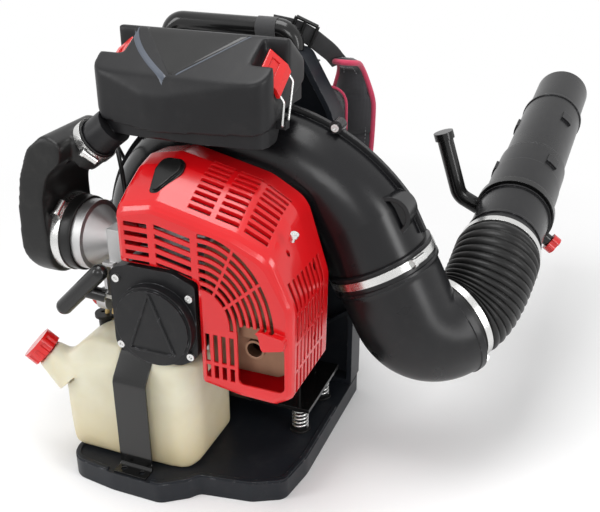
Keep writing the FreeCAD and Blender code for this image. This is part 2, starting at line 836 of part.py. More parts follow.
def make_piston():
    """Crown and skirt with two inner bosses; the middle is open for the rod's small end."""
    pin_z = crank_z + crank_throw + rod_length
    top = pin_z + 20.0
    bottom = pin_z - 18.0
    center = V(crank_x, cylinder_y, bottom)
    body = rod(center, Z_AXIS, bore_radius - shaft_fit, top - bottom)
    body = body.cut(rod(center - Z_AXIS, Z_AXIS, bore_radius - 3.2, top - bottom - 4))
    bosses = []
    for side in (-1, 1):
        boss = rod(V(crank_x, cylinder_y + side * 9, pin_z), Y_AXIS * side, 8, 17)
        bosses.append(boss)
    body = joined([body] + bosses)
    for z in (top - 4, top - 8):
        body = body.cut(sleeve(V(crank_x, cylinder_y, z), Z_AXIS, bore_radius + 1, bore_radius - 1.6, 1.4))
    return body.removeSplitter()


def make_connecting_rod():
    big = V(crank_x, cylinder_y - 6, crank_z + crank_throw)
    small = V(crank_x, cylinder_y - 6, crank_z + crank_throw + rod_length)
    body = joined([rod(big, Y_AXIS, 11.5, 12), rod(small, Y_AXIS, 6.8, 12),
                   block(crank_x - 4.5, crank_x + 4.5, cylinder_y - 4, cylinder_y + 4, big.z, small.z)])
    body = body.cut(rod(big - Y_AXIS, Y_AXIS, crank_pin_radius + shaft_fit, 14))
    body = body.cut(rod(small - Y_AXIS, Y_AXIS, 4.0, 14))
    return body.removeSplitter()


def make_spark_plug():
    thread = rod(plug_seat - plug_axis * 13, plug_axis, 4.9, 13.2)
    hexagon = prism([(10 * math.cos(math.radians(60 * k)), 10 * math.sin(math.radians(60 * k)), 0)
                     for k in range(6)], on_xy(0), V(0, 0, 8))
    turn = FreeCAD.Rotation(Z_AXIS, plug_axis)
    hexagon.Placement = FreeCAD.Placement(plug_seat, turn)
    ceramic = rod(plug_seat + plug_axis * 8, plug_axis, 5.0, 18)
    return joined([thread, hexagon, ceramic])


def make_plug_boot():
    """The rubber boot over the plug and its lead down to the coil."""
    seat = plug_seat + plug_axis * 10
    boot = rod(seat, plug_axis, 8.5, 20)
    top = seat + plug_axis * 14
    coil_top = V(crank_x - 16, flywheel_y0 + 6, crank_z + flywheel_radius + 21.6)
    route = [top, top + V(0, 20, 8), V(crank_x - 8, -34, top.z - 7), coil_top + V(0, 0, 30), coil_top]
    lead = round_bar(route, cable_radii(route), 3.0)
    return boot.fuse(lead).cut(rod(plug_seat, plug_axis, 5.0 + 0.02, 26)).removeSplitter()


def make_ignition_coil():
    """The coil on the crankcase's back plate, its core facing the flywheel's magnet."""
    z0 = crank_z + flywheel_radius + 1.6
    core = block(crank_x - 20, crank_x + 20, flywheel_y0 + 2, flywheel_y1 - 3, z0, z0 + 8)
    body = block(crank_x - 34, crank_x - 4, flywheel_y0 + 1, flywheel_y1 - 1, z0 + 4, z0 + 20)
    return core.fuse(body).removeSplitter()


carburetor_z = 282.0
exhaust_z = 300.0
muffler_x0 = crank_x + fin_half + 10.0
muffler_x1 = 136.0
muffler_z0 = 178.0
muffler_z1 = 322.0
muffler_y0 = -112.0
muffler_y1 = -36.0


def make_muffler():
    outline = [(muffler_x0, muffler_z0, 14), (muffler_x1, muffler_z0, 14),
               (muffler_x1, 270, 16), (104, muffler_z1, 14), (muffler_x0, muffler_z1, 12)]
    outer = prism(outline, on_xz(muffler_y0), V(0, muffler_y1 - muffler_y0, 0))
    seam = prism(outline, on_xz(-76), V(0, 3, 0), -3.0)
    neck = rod(V(crank_x + fin_half + 4, cylinder_y, exhaust_z), X_AXIS, 17,
               muffler_x0 - crank_x - fin_half - 4 + 2)
    tail = rod(V(104, muffler_y0 - 12, 214), Y_AXIS, 11, 16)
    deflector = block(86, 124, muffler_y0 - 10, muffler_y0 + 1, 226, 240)
    body = joined([outer, seam, neck, tail, deflector])
    hollow = prism(outline, on_xz(muffler_y0 + 2), V(0, muffler_y1 - muffler_y0 - 4, 0), 2.0)
    body = body.cut(hollow)
    body = body.cut(rod(V(104, muffler_y0 - 14, 214), Y_AXIS, 8.5, 20))
    body = body.cut(rod(V(crank_x + fin_half, cylinder_y, exhaust_z), X_AXIS, 11, 18))
    return body.removeSplitter()


carb_x0 = -100.0
carb_x1 = crank_x - fin_half - 4.0


def make_carburetor():
    """Insulator block, body with its bore, bowl cover and the throttle lever's shaft."""
    body = block(carb_x0 + 6, carb_x1 - 10, cylinder_y - 22, cylinder_y + 20, carburetor_z - 20, carburetor_z + 20)
    insulator = block(carb_x1 - 10, carb_x1, cylinder_y - 20, cylinder_y + 20, carburetor_z - 19, carburetor_z + 19)
    horn = rod(V(duct_mouth.x - 12, cylinder_y, carburetor_z), X_AXIS, lower_hose_radius - duct_wall, 22)
    neck = Part.makeCone(lower_hose_radius - 8, 18, 27, V(duct_mouth.x + 9, cylinder_y, carburetor_z), X_AXIS)
    cover = block(carb_x0 + 12, carb_x1 - 14, cylinder_y - 18, cylinder_y + 16, carburetor_z - 26, carburetor_z - 20)
    shaft = rod(V(-78, cylinder_y, carburetor_z + 20), Z_AXIS, 4, 6)
    lever = block(-92, -74, cylinder_y - 4, cylinder_y + 4, carburetor_z + 26, carburetor_z + 29)
    out = joined([body, insulator, horn, neck, cover, shaft, lever, primer_base()])
    out = out.cut(rod(V(duct_mouth.x - 13, cylinder_y, carburetor_z), X_AXIS, lower_hose_radius - duct_wall - 3, 19))
    out = out.cut(Part.makeCone(lower_hose_radius - 11, 14, 24, V(duct_mouth.x + 5, cylinder_y, carburetor_z), X_AXIS))
    out = out.cut(rod(V(carb_x0 - 18, cylinder_y, carburetor_z), X_AXIS, 11, 80))
    return out.removeSplitter()


# The engine cover and its louvres

def cover_outline(rise, inset):
    """The cover seen from the front; its top stands higher towards the back."""
    i = inset
    return [
        (-50 + i, 290 + i, 3), (-50 + i, 352 + rise - i, 12), (-5, 361 + rise - i, 30),
        (84 - i * 0.3, 340 + rise - i, 40), (124 - i, 322 + rise * 0.85 - i, 34), (149 - i, 268, 40),
        (147 - i, 163 + i, 10), (129 - i, cover_bottom_z + i, 5), (88 + i * 0.3, cover_bottom_z + 1 + i, 5),
        (41 + i, 160 + i, 4), (41 + i, 280 + i, 6), (14, 290 + i, 10),
    ]


def cover_body(thinner):
    """Stacked outlines from the rounded front face to the back edge."""
    stations = [(cover_front_y, 0.0, 7.0), (cover_front_y + 1.5, 0.6, 3.6), (cover_front_y + 4.5, 2.0, 1.2),
                (cover_front_y + 9, 5.0, 0.0), (-104, 16.0, 0.0), (-78, 30.0, 0.0),
                (-56, 36.0, 0.0), (cover_back_y, 33.0, 0.0)]
    wires = []
    for k, (y, rise, inset) in enumerate(stations):
        back = (thinner and k == len(stations) - 1)
        y_here = y + (2 if back else thinner)
        wires.append(rounded_wire(cover_outline(rise, inset + thinner), on_xz(y_here)))
    return skin(wires, True)


slot_pitch = 9.6
slot_height = 5.4


def front_slots():
    """Three columns of slots across the front that bend down into upright ones at the right."""
    y0 = cover_front_y - 5
    depth = 16.0
    out = []
    for k in range(7):
        z = 341 - slot_pitch * 1.12 * k
        out.append(block(-39, -11, y0, y0 + depth, z - slot_height, z))
        out.append(slant_slot((-3, z + 1.5), (38, z - 7.5), y0, depth))
    centre_x = 52.0
    centre_z = 236.0
    for k in range(7):
        outer = 104.0 - slot_pitch * k
        inner = outer - slot_height
        bend = bent_slot(centre_x, centre_z, outer, inner, y0, depth)
        out.append(bend)
    return out


def slant_slot(a, b, y0, depth):
    face = Part.Face(Part.makePolygon([V(a[0], y0, a[1]), V(b[0], y0, b[1]), V(b[0], y0, b[1] - slot_height),
                                       V(a[0], y0, a[1] - slot_height), V(a[0], y0, a[1])]))
    return face.extrude(V(0, depth, 0))


def bent_slot(cx, cz, outer, inner, y0, depth):
    """A quarter ring squeezed sideways, with two bridges left across it."""
    squeeze = 0.80
    ring = sleeve(V(0, y0, 0), Y_AXIS, outer, inner, depth)
    ring = ring.common(block(0, 200, y0, y0 + depth, -2, 200))
    for angle in (35.0, 62.0):
        bridge = block(0, 200, y0 - 1, y0 + depth + 1, -1.8, 1.8)
        bridge.rotate(V(0, 0, 0), Y_AXIS, -angle)
        ring = ring.cut(bridge)
    matrix = FreeCAD.Matrix()
    matrix.scale(squeeze, 1.0, 1.0)
    ring = ring.transformGeometry(matrix)
    ring.translate(V(cx - 6, 0, cz))
    return ring


def upright_slots():
    """Upright slots below the bends, beside the exhaust's opening."""
    y0 = cover_front_y - 5
    depth = 16.0
    out = []
    for k in range(4):
        x = 49.5 + 9.4 * k
        out.append(block(x, x + slot_height, y0, y0 + depth, 172, 188))
        out.append(block(x, x + slot_height, y0, y0 + depth, 192, 226))
    return out


def top_slots():
    """Three columns of nine slots on the sloping top."""
    out = []
    for column in range(3):
        x0 = 30 + 31 * column
        for row in range(9):
            y = -116 + 7.6 * row
            out.append(block(x0, x0 + 25, y, y + 4.2, 312, 420))
    return out


def side_slots():
    """Rows of upright slots on the outer side, with two round holes between them."""
    out = []
    for row, (z0, z1) in enumerate(((262, 294), (228, 258), (194, 224), (166, 190))):
        for k in range(8):
            y = -116 + 10.4 * k
            out.append(block(136, 160, y, y + 5.0, z0, z1))
    return out


exhaust_opening = (87.0, 140.0, 171.0, 243.0)


def make_engine_cover():
    shell = cover_body(0).cut(cover_body(cover_wall))
    hood_x0, hood_x1, hood_z0, hood_z1 = exhaust_opening
    opening = prism([(hood_x0, hood_z0, 6), (hood_x1, hood_z0, 8), (hood_x1, hood_z1 - 16, 5),
                     (hood_x1 - 22, hood_z1 - 22, 6), (hood_x1 - 26, hood_z1, 6), (hood_x0, hood_z1, 8)],
                    on_xz(cover_front_y - 12), V(0, 26, 0))
    hood = prism([(hood_x1 - 28, hood_z1 - 22, 5), (hood_x1 + 3, hood_z1 - 14, 5),
                  (hood_x1 + 3, hood_z1 - 2, 4), (hood_x1 - 30, hood_z1 + 4, 6)],
                 on_xz(cover_front_y - 8), V(0, 12, 0))
    cuts = front_slots() + upright_slots() + top_slots() + side_slots() + [opening]
    body = shell.multiFuse([hood]).cut(cuts)
    for y, z in ((-52, 286), (-62, 206)):
        body = body.cut(rod(V(130, y, z), X_AXIS, 4.5, 30))
    ear = sleeve(V(-57, -104, 330), Y_AXIS, 7, 3.2, 4)
    ear_arm = block(-52, -48.5, -104, -100, 324, 336)
    body = body.fuse([ear, ear_arm])
    body = body.cut(plug_cap_hole())
    body = body.cut(rod(V(124, -92, 300), V(0.35, -0.2, 0.92), 2.6, 90))
    engine_way = block(-50 + cover_wall, 47, cover_front_y + 5, cover_back_y + 3, 270, 296)
    muffler_way = block(35, 47, cover_front_y + 5, cover_back_y + 3, 165, 285)
    port_way = rod(V(crank_x - 80, cylinder_y, carburetor_z), X_AXIS, 16, 60)
    body = body.cut([engine_way, muffler_way, port_way])
    screw_places.append((cover_screw_seat, unit(cover_screw_axis)))
    return body.removeSplitter()


cover_screw_axis = V(0.35, -0.2, 0.92)
cover_screw_seat = V(139.5, -100.9, 340.8)


cap_middle = V(crank_x, -90.0, 379.0)
cap_slope = V(0, 0.866, 0.5)


def plug_cap_outline(grow):
    """A teardrop seen along the spark plug's axis, wide at its back."""
    wide = 15.0
    points = [(-6 - 3, -25, 5), (-6 + 6, -25, 5), (wide + 1, 6, 14), (wide - 1, 23, 10),
              (-wide + 2, 23, 10), (-wide - 1, 6, 14)]
    return drawn_in(points, -grow)


def on_cap(lift):
    base = cap_middle + unit(plug_axis) * lift
    return lambda u, w: base + X_AXIS * u + cap_slope * w


def plug_cap_hole():
    return prism(plug_cap_outline(beside), on_cap(-26), unit(plug_axis) * 60)


def make_plug_access_cap():
    """The push-in cap over the spark plug, with a smaller raised crown."""
    axis = unit(plug_axis)
    plug = prism(plug_cap_outline(0), on_cap(-12), axis * 15.5)
    crown = prism(plug_cap_outline(-3.0), on_cap(3.0), axis * 3.5)
    return plug.fuse(crown).removeSplitter()


# The recoil starter at the front

starter_front_y = -143.0
starter_body_y = cover_front_y + 1.0
starter_back_y = crankcase_front_y - beside
hub_radius = 47.0
pulley_y0 = -120.0
pulley_y1 = -108.0
pulley_radius = 30.0
pulley_bore = 6.0


def make_starter_housing():
    outline = [(-63, 184, 16), (-63, 282, 12), (-40, 289, 8), (12, 289, 10), (39.5, 278, 8),
               (39.5, 191, 18), (18, 177, 20), (-36, 175, 20)]
    body = prism(outline, on_xz(starter_body_y), V(0, starter_back_y - starter_body_y, 0))
    hub = rod(V(crank_x - 2, starter_front_y + 3, crank_z), Y_AXIS, hub_radius, starter_body_y - starter_front_y)
    cap = rod(V(crank_x - 2, starter_front_y, crank_z), Y_AXIS, hub_radius - 3, 4)
    ridge = prism([(crank_x - 2, crank_z + 45, 2), (crank_x + 27, crank_z - 30, 3), (crank_x - 31, crank_z - 30, 3)],
                  on_xz(starter_front_y - 1.6), V(0, 3, 0))
    ridge = ridge.cut(prism([(crank_x - 2, crank_z + 45, 2), (crank_x + 27, crank_z - 30, 3),
                             (crank_x - 31, crank_z - 30, 3)], on_xz(starter_front_y - 2), V(0, 4, 0), 2.5))
    body = joined([body, hub, cap, ridge])
    room = rod(V(crank_x, starter_front_y + 6, crank_z), Y_AXIS, pulley_radius + 5, 60)
    body = body.cut(room.common(half_space(starter_back_y + 1, True)))
    back_room = prism(outline, on_xz(-106), V(0, starter_back_y + 106 + 1, 0), 4.0)
    body = body.cut(back_room)
    guide = joined([rod(rope_exit + pull_axis * 4, pull_axis * -1, 7.0, 20)])
    body = body.fuse(guide)
    body = body.cut(rod(rope_exit + pull_axis * 6, pull_axis * -1, 3.0, 60))
    post_y = starter_front_y + 4
    post = rod(V(crank_x, post_y, crank_z), Y_AXIS, pulley_bore - shaft_fit, pulley_y1 + 1 - post_y)
    body = body.fuse(post)
    for x, z in ((33.5, 264), (31.5, 192.5), (-55, 190), (-54, 272)):
        body = screw_hole(body, V(x, starter_body_y, z), V(0, -1, 0))
    return body.removeSplitter()


pull_axis = unit(V(-0.86, -0.30, 0.25))
rope_exit = V(-60.0, -118.0, 238.0)
grip_center = rope_exit + pull_axis * 43.0


def make_recoil_spring():
    """The flat spiral spring behind the pulley, wound as rings joined by a hook."""
    center = V(crank_x, pulley_y0 - 8, crank_z)
    turns = [sleeve(center, Y_AXIS, r, r - 1.2, 6) for r in (27, 24, 21, 18, 15)]
    links = [block(crank_x + 12, crank_x + 26, center.y, center.y + 6, crank_z - 0.6, crank_z + 0.6)]
    return joined(turns + links)


def make_starter_pulley():
    center = V(crank_x, pulley_y0, crank_z)
    depth = pulley_y1 - pulley_y0
    body = rod(center, Y_AXIS, pulley_radius, depth)
    body = body.cut(sleeve(center + Y_AXIS * 3, Y_AXIS, pulley_radius + 1, pulley_radius - 5, depth - 6))
    body = body.cut(rod(center - Y_AXIS, Y_AXIS, pulley_bore, depth + 2))
    pawl = block(crank_x + 10, crank_x + 20, pulley_y1, pulley_y1 + 3, crank_z - 4, crank_z + 4)
    return body.fuse(pawl).removeSplitter()


def make_starter_grip():
    """The T-shaped handle at the rope's end."""
    bar_axis = unit(V(0.70, 0.0, 0.71))
    half = 36.0
    bar = rod(grip_center - bar_axis * half, bar_axis, 9.5, 2 * half)
    caps = [Part.makeSphere(9.5, grip_center + bar_axis * half * s) for s in (-1, 1)]
    stem = rod(grip_center - pull_axis * 27, pull_axis, 7.5, 27)
    body = joined([bar, stem] + caps)
    return body.cut(rod(grip_center - pull_axis * 30, pull_axis, 2.2, 22)).removeSplitter()


def make_starter_rope():
    start = rope_exit - pull_axis * 22
    end = grip_center - pull_axis * 10
    return rod(start, pull_axis, 2.0, (end - start).Length)


# The fuel tank, its strap and its lines

def tank_body(thinner):
    """Three outlines crossed: front view, side view and plan."""
    front = [(-136, base_height + beside, 22), (tank_left_x, 92, 60), (-145, 146, 26), (-112, tank_top_z + 8, 30),
             (-66, tank_top_z + 6, 30), (-50, tank_top_z, 20), (tank_right_x, tank_top_z, 14),
             (tank_right_x, base_height + beside, 16)]
    side = [(tank_front_y + 8, base_height + beside, 12), (tank_front_y, 70, 60), (tank_front_y, 142, 14),
            (tank_front_y + 24, tank_top_z + 9, 18), (tank_back_y, tank_top_z + 9, 14),
            (tank_back_y, base_height + beside, 12)]
    plan = [(tank_left_x, tank_front_y, 30), (tank_right_x, tank_front_y + 16, 30),
            (tank_right_x, tank_back_y, 24), (tank_left_x, tank_back_y, 24)]
    a = prism(front, on_xz(tank_front_y - 10), V(0, 160, 0), thinner)
    b = prism(side, on_yz(tank_left_x - 10), V(220, 0, 0), thinner)
    c = prism(plan, on_xy(10), V(0, 0, 200), thinner)
    return a.common(b).common(c)


neck_axis = unit(V(-0.62, -0.20, 0.62))
cap_seat = V(-161.0, -127.0, 153.0)


def strap_groove():
    """The hollow in the tank's upper front edge that the strap lies in."""
    face_y = tank_front_y - beside - strap_thick
    points = [(face_y + strap_thick + beside, 120, 0), (face_y + strap_thick + beside, 143, 12),
              (face_y + 26.4, 170.3, 8), (face_y + 60, 170.3, 0), (face_y + 60, 200, 0),
              (face_y - 20, 200, 0), (face_y - 20, 120, 0)]
    return prism(points, on_yz(strap_middle_x - strap_width / 2 - 1), V(strap_width + 2, 0, 0))


def make_fuel_tank():
    groove = strap_groove()
    outer = tank_body(0).cut(groove)
    root = cap_seat - neck_axis * 40
    neck = Part.makeCone(26, 16, 40, root, neck_axis)
    outer = outer.fuse(neck)
    kept = groove.copy()
    kept.translate(V(0, tank_wall, -tank_wall))
    inner = tank_body(tank_wall).cut(kept)
    throat = Part.makeCone(22, 13, 42, root, neck_axis)
    body = outer.cut(inner).cut(throat)
    body = body.cut(rod(grommet_place - Z_AXIS * 20, Z_AXIS, 9.0, 40))
    return body.removeSplitter()


def make_fuel_cap():
    """The screw cap: a skirt with finger ridges and a plug in the neck."""
    seat = cap_seat + neck_axis * beside
    body = rod(seat, neck_axis, 20, 17)
    turn = FreeCAD.Rotation(Z_AXIS, neck_axis)
    for k in range(12):
        angle = math.radians(30 * k)
        local = turn.multVec(V(math.cos(angle), math.sin(angle), 0))
        body = body.cut(rod(seat + local * 21.5 - neck_axis, neck_axis, 3.2, 14))
    plug = rod(seat - neck_axis * 7, neck_axis, 11.5, 8)
    return body.fuse(plug).removeSplitter()


grommet_place = V(-120.0, -64.0, tank_top_z + 2)


def make_tank_grommet():
    """The rubber stopper that the lines pass through."""
    low = rod(grommet_place - Z_AXIS * 8, Z_AXIS, 9.0, 16)
    flange = rod(grommet_place + Z_AXIS * 6, Z_AXIS, 13.0, 4)
    under = rod(grommet_place - Z_AXIS * 12, Z_AXIS, 8.0, 5)
    body = joined([low, flange, under])
    for place in line_places():
        body = body.cut(rod(place - Z_AXIS * 20, Z_AXIS, line_radius, 50))
    return body.removeSplitter()


line_radius = 2.6


def line_places():
    return [grommet_place + V(-3.6, 0, 0), grommet_place + V(3.6, 0, 0)]


def make_fuel_lines():
    """Supply to the carburetor and return from the primer, with the filter in the tank."""
    out = []
    carb_under = carburetor_z - 26
    for place, end in zip(line_places(), (V(-84, cylinder_y - 8, carb_under), V(-72, cylinder_y + 6, carb_under))):
        up = place.z + 34
        route = [V(place.x, place.y, base_height + 34), V(place.x, place.y, up),
                 V(end.x, end.y, carb_under - 22), end]
        radii = [r * 0.9 for r in cable_radii(route)]
        line = round_bar(route, radii, line_radius)
        out.append(line)
    filter_body = rod(V(line_places()[0].x, line_places()[0].y, base_height + 14), Z_AXIS, 7.0, 24)
    out[0] = out[0].fuse(filter_body).removeSplitter()
    return Part.makeCompound(out)


def make_primer_bulb():
    """The soft bulb that is pressed to draw fuel before a start."""
    center = primer_seat
    dome = Part.makeSphere(10.0, center)
    dome = dome.common(block(center.x - 20, center.x, center.y - 20, center.y + 20, center.z - 20, center.z + 20))
    return dome.fuse(rod(center, X_AXIS, 10.0, 2.0)).removeSplitter()


primer_seat = V(-110.0, -84.0, 214.0)


def primer_base():
    """The primer's body on a bracket from the carburetor, hollow where the bulb is pressed in."""
    body = rod(primer_seat + X_AXIS * (2 + beside), X_AXIS, 12.5, 12)
    body = body.cut(rod(primer_seat + X_AXIS, X_AXIS, 10.6, 7))
    arm = block(primer_seat.x + 10, primer_seat.x + 14, primer_seat.y - 4, primer_seat.y + 6,
                primer_seat.z, carburetor_z - 20)
    tab = block(primer_seat.x + 10, carb_x0 + 14, primer_seat.y - 4, primer_seat.y + 6,
                carburetor_z - 24, carburetor_z - 20)
    return joined([body, arm, tab])


def make_tank_strap():
    """The bent steel strap in front of the tank, from the base up to the starter."""
    x0 = strap_middle_x - strap_width / 2
    face_y = tank_front_y - beside - strap_thick
    outline = [(face_y - 16, base_height, 0), (face_y - 16, base_height + strap_thick, 0),
            (face_y, base_height + strap_thick, 4), (face_y, 144, 14), (face_y + 25.0, 173.2, 10),
            (face_y + 40, 173.2, 0), (face_y + 40, 173.2 - strap_thick, 0),
            (face_y + 26.2, 173.2 - strap_thick, 8), (face_y + strap_thick, 143, 12),
            (face_y + strap_thick, base_height, 2)]
    body = prism(outline, on_yz(x0), V(strap_width, 0, 0))
    for x in (x0 + 9, x0 + strap_width - 9):
        body = body.cut(rod(V(x, face_y - 8, base_height - 1), Z_AXIS, 3.4, 8))
    return body.removeSplitter()


# The air cleaner above the engine

cleaner_half_seam = 0.3136


def seam_z(y, offset=0.0):
    """Height of the joint between the cleaner's cover and its case, which rises to the back."""
    return 424.0 + (y + 78.0) * cleaner_half_seam + offset


def cleaner_side(extra_low):
    return [(cleaner_front_y - 2, seam_z(cleaner_front_y - 2) - extra_low, 0), (cleaner_front_y, 462, 14),
            (-74, 480, 14), (-6, 515, 10), (36, 484, 8), (cleaner_back_y, 470, 6),
            (cleaner_back_y, seam_z(cleaner_back_y) - extra_low, 0)]


def cleaner_plan():
    return [(cleaner_left_x, cleaner_front_y + 12, 20), (-22, cleaner_front_y - 2, 60),
            (cleaner_right_x, cleaner_front_y + 12, 20), (cleaner_right_x, cleaner_back_y, 12),
            (cleaner_left_x, cleaner_back_y, 12)]


def cleaner_body(thinner):
    width = cleaner_right_x - cleaner_left_x + 40
    side = prism(cleaner_side(30), on_yz(cleaner_left_x - 20), V(width, 0, 0), thinner)
    plan = prism(cleaner_plan(), on_xy(380), V(0, 0, 160), thinner)
    return side.common(plan)


def above_seam(offset):
    width = cleaner_right_x - cleaner_left_x + 60
    outline = [(-160, seam_z(-160, offset), 0), (-160, 600, 0), (120, 600, 0), (120, seam_z(120, offset), 0)]
    return prism(outline, on_yz(cleaner_left_x - 30), V(width, 0, 0))


latch_y0 = -43.0
latch_y1 = -13.0
latch_rise = 19.0
latch_inner_x = cleaner_right_x - 20.0
latch_outer_x = cleaner_right_x + 1.0
latch_z = 468.0
latch_pin = V(cleaner_right_x + 4.5, 0, 431.0)
bail_radius = 1.2


def sloped_bar(section, y0, y1):
    """A section in the XZ plane pushed back along Y while it rises with the cover's top."""
    slope = latch_rise / (latch_y1 - latch_y0)
    start = [(x, z + (y0 - latch_y0) * slope, r) for x, z, r in section]
    return prism(start, on_xz(y0), V(0, y1 - y0, (y1 - y0) * slope))


def latch_recess(grow):
    """The sloping notch in the cover's upper edge where the latch's lever lies."""
    section = [(latch_inner_x - 6 - grow, 560, 0), (latch_inner_x - 6 - grow, latch_z + 13 - grow, 0),
               (latch_outer_x - 5, latch_z - 6.5 - grow, 0), (latch_outer_x - 3, latch_z - 10.5 - grow, 0),
               (latch_outer_x + 40, latch_z - 24 - grow, 0),
               (latch_outer_x + 40, 560, 0)]
    return sloped_bar(section, latch_y0 - 3 - grow, latch_y1 + 3 + grow)


def make_air_cleaner_cover():
    body = cleaner_body(0)
    shell = body.cut(cleaner_body(cleaner_wall)).common(above_seam(0.2))
    middle_x = (cleaner_left_x + cleaner_right_x) / 2
    for notch, liner in ((latch_recess(0), latch_recess(cleaner_wall)),
                         (mirrored_x(latch_recess(0), middle_x), mirrored_x(latch_recess(cleaner_wall), middle_x))):
        shell = shell.fuse(liner.common(body)).cut(notch)
    shell = shell.cut(rod(duct_spout - spout_axis * 34, spout_axis, upper_hose_radius - duct_wall + beside, 60))
    return shell.removeSplitter()


def right_latch():
    """The red lever in the cover's notch and the bent wire down to the lug on the case."""
    section = [(latch_inner_x, latch_z + 16, 1.5), (latch_outer_x - 1, latch_z + 1, 3),
               (latch_outer_x + 3, latch_z - 7, 1.2), (latch_outer_x - 1, latch_z - 8, 1.2),
               (latch_outer_x - 4, latch_z - 3, 3), (latch_inner_x - 1.5, latch_z + 11.5, 1.5)]
    lever = sloped_bar(section, latch_y0, latch_y1)
    groove = sloped_bar([(latch_inner_x + 6, latch_z + 15, 0), (latch_outer_x - 7, latch_z + 9, 0),
                         (latch_outer_x - 8, latch_z + 3.5, 0), (latch_inner_x + 5, latch_z + 10, 0)],
                        latch_y0 + 5, latch_y1 - 5)
    x = latch_pin.x
    route = [V(latch_outer_x - 1, latch_y0 + 3, latch_z - 3), V(x + 1.5, latch_y0 + 4, latch_z - 12),
             V(x, latch_y0 + 2, latch_pin.z), V(x, latch_y0 + 18, latch_pin.z),
             V(x + 1.5, latch_y1 - 2, latch_z + 4), V(latch_outer_x - 1, latch_y1 - 3, latch_z + 13)]
    bail = round_bar(route, [2.5, 3.0, 3.0, 2.5], bail_radius)
    return lever.cut(groove).fuse(bail).removeSplitter()


def make_latch(side):
    latch = right_latch()
    return latch if side > 0 else mirrored_x(latch, (cleaner_left_x + cleaner_right_x) / 2)


case_bottom_z = 412.0
scroll_clear_z = 441.0


def make_air_cleaner_case():
    """The tray under the cover: a stepped floor, low walls, and the spout to the duct."""
    width = cleaner_right_x - cleaner_left_x + 40
    side = [(cleaner_front_y + 7, case_bottom_z, 6), (cleaner_front_y + 7, seam_z(cleaner_front_y + 7), 0),
            (cleaner_back_y - 1, seam_z(cleaner_back_y - 1), 0), (cleaner_back_y - 1, scroll_clear_z, 5),
            (fan_mid_y - outlet_radius - 3, scroll_clear_z, 6), (-34, case_bottom_z, 10)]
    plan = [(cleaner_left_x + 5, cleaner_front_y + 18, 16), (-22, cleaner_front_y + 7, 60),
            (cleaner_right_x - 5, cleaner_front_y + 18, 16), (cleaner_right_x - 3, cleaner_back_y - 2, 10),
            (cleaner_left_x + 3, cleaner_back_y - 2, 10)]
    def tray(thinner):
        a = prism(side, on_yz(cleaner_left_x - 20), V(width, 0, 0), thinner)
        return a.common(prism(plan, on_xy(380), V(0, 0, 160), thinner))
    hollow = tray(cleaner_wall)
    lift = hollow.copy()
    lift.translate(V(0, 0, 2 * cleaner_wall + 4))
    body = tray(0)
    spout_root = duct_spout - spout_axis * 34
    spout = rod(spout_root, spout_axis, upper_hose_radius - duct_wall, 42)
    body = body.fuse(spout)
    body = body.cut(hollow.fuse(lift))
    body = body.cut(rod(spout_root + spout_axis * 2, spout_axis, upper_hose_radius - duct_wall - 2.5, 60))
    lug = block(cleaner_right_x - 9, latch_pin.x + 3, latch_y0 + 5, latch_y0 + 15, latch_pin.z - 4, latch_pin.z + 4)
    lug = lug.cut(rod(V(latch_pin.x, latch_y0 - 5, latch_pin.z), Y_AXIS, bail_radius + shaft_fit, 40))
    other = mirrored_x(lug, (cleaner_left_x + cleaner_right_x) / 2)
    return joined([body, lug, other])


def make_air_filter():
    """The pleated element inside the cleaner's cover."""
    out = []
    x0 = -70.0
    pitch = 12.0
    count = 11
    z0 = 470.0
    for k in range(count):
        x = x0 + pitch * k
        out.append(block(x, x + 7, -46, 10, z0, z0 + 14))
    floor = block(x0 - 4, x0 + pitch * count, -52, 16, z0 - 5, z0 + 1)
    return joined(out + [floor])


# The intake duct on the left, from the cleaner down to the carburetor

duct_wall = 3.0
upper_hose_radius = 24.0
lower_hose_radius = 44.0
duct_front_y = -108.0
duct_back_y = -16.0
duct_x = -156.0
duct_spout = V(-111.5, cylinder_y, 396.5)
spout_axis = unit(V(-0.787, 0, -0.617))
duct_mouth = V(-128.0, cylinder_y, carburetor_z)


def duct_box(thinner):
    """The flat bent box, from its front outline and its rounded side outline."""
    front = [(-124, 404, 8), (-146, 413, 14), (-169, 393, 24), (-183, 359, 60), (-191, 318, 60),
             (-192, 266, 34), (-180, 232, 22), (duct_x, 232, 5), (duct_x, 334, 40),
             (-147, 364, 30), (-126, 384, 8)]
    side = [(duct_front_y, 234, 42), (duct_front_y, 420, 18), (duct_back_y, 420, 18), (duct_back_y, 234, 42)]
    a = prism(front, on_xz(duct_front_y - 2), V(0, duct_back_y - duct_front_y + 4, 0), thinner)
    return a.common(prism(side, on_yz(-240), V(140, 0, 0), thinner))


def make_intake_duct():
    """The box, the short hose up to the cleaner's spout and the wide one to the carburetor."""
    upper = rod(duct_spout - spout_axis * 8, spout_axis, upper_hose_radius, 34)
    lower = rod(duct_mouth, X_AXIS * -1, lower_hose_radius, duct_mouth.x - duct_x + 4)
    body = joined([duct_box(0), upper, lower])
    body = body.cut(duct_box(duct_wall))
    body = body.cut(rod(duct_spout - spout_axis * 10, spout_axis, upper_hose_radius - duct_wall, 44))
    body = body.cut(rod(duct_mouth + X_AXIS, X_AXIS * -1, lower_hose_radius - duct_wall,
                        duct_mouth.x - duct_x + 8))
    return body.removeSplitter()


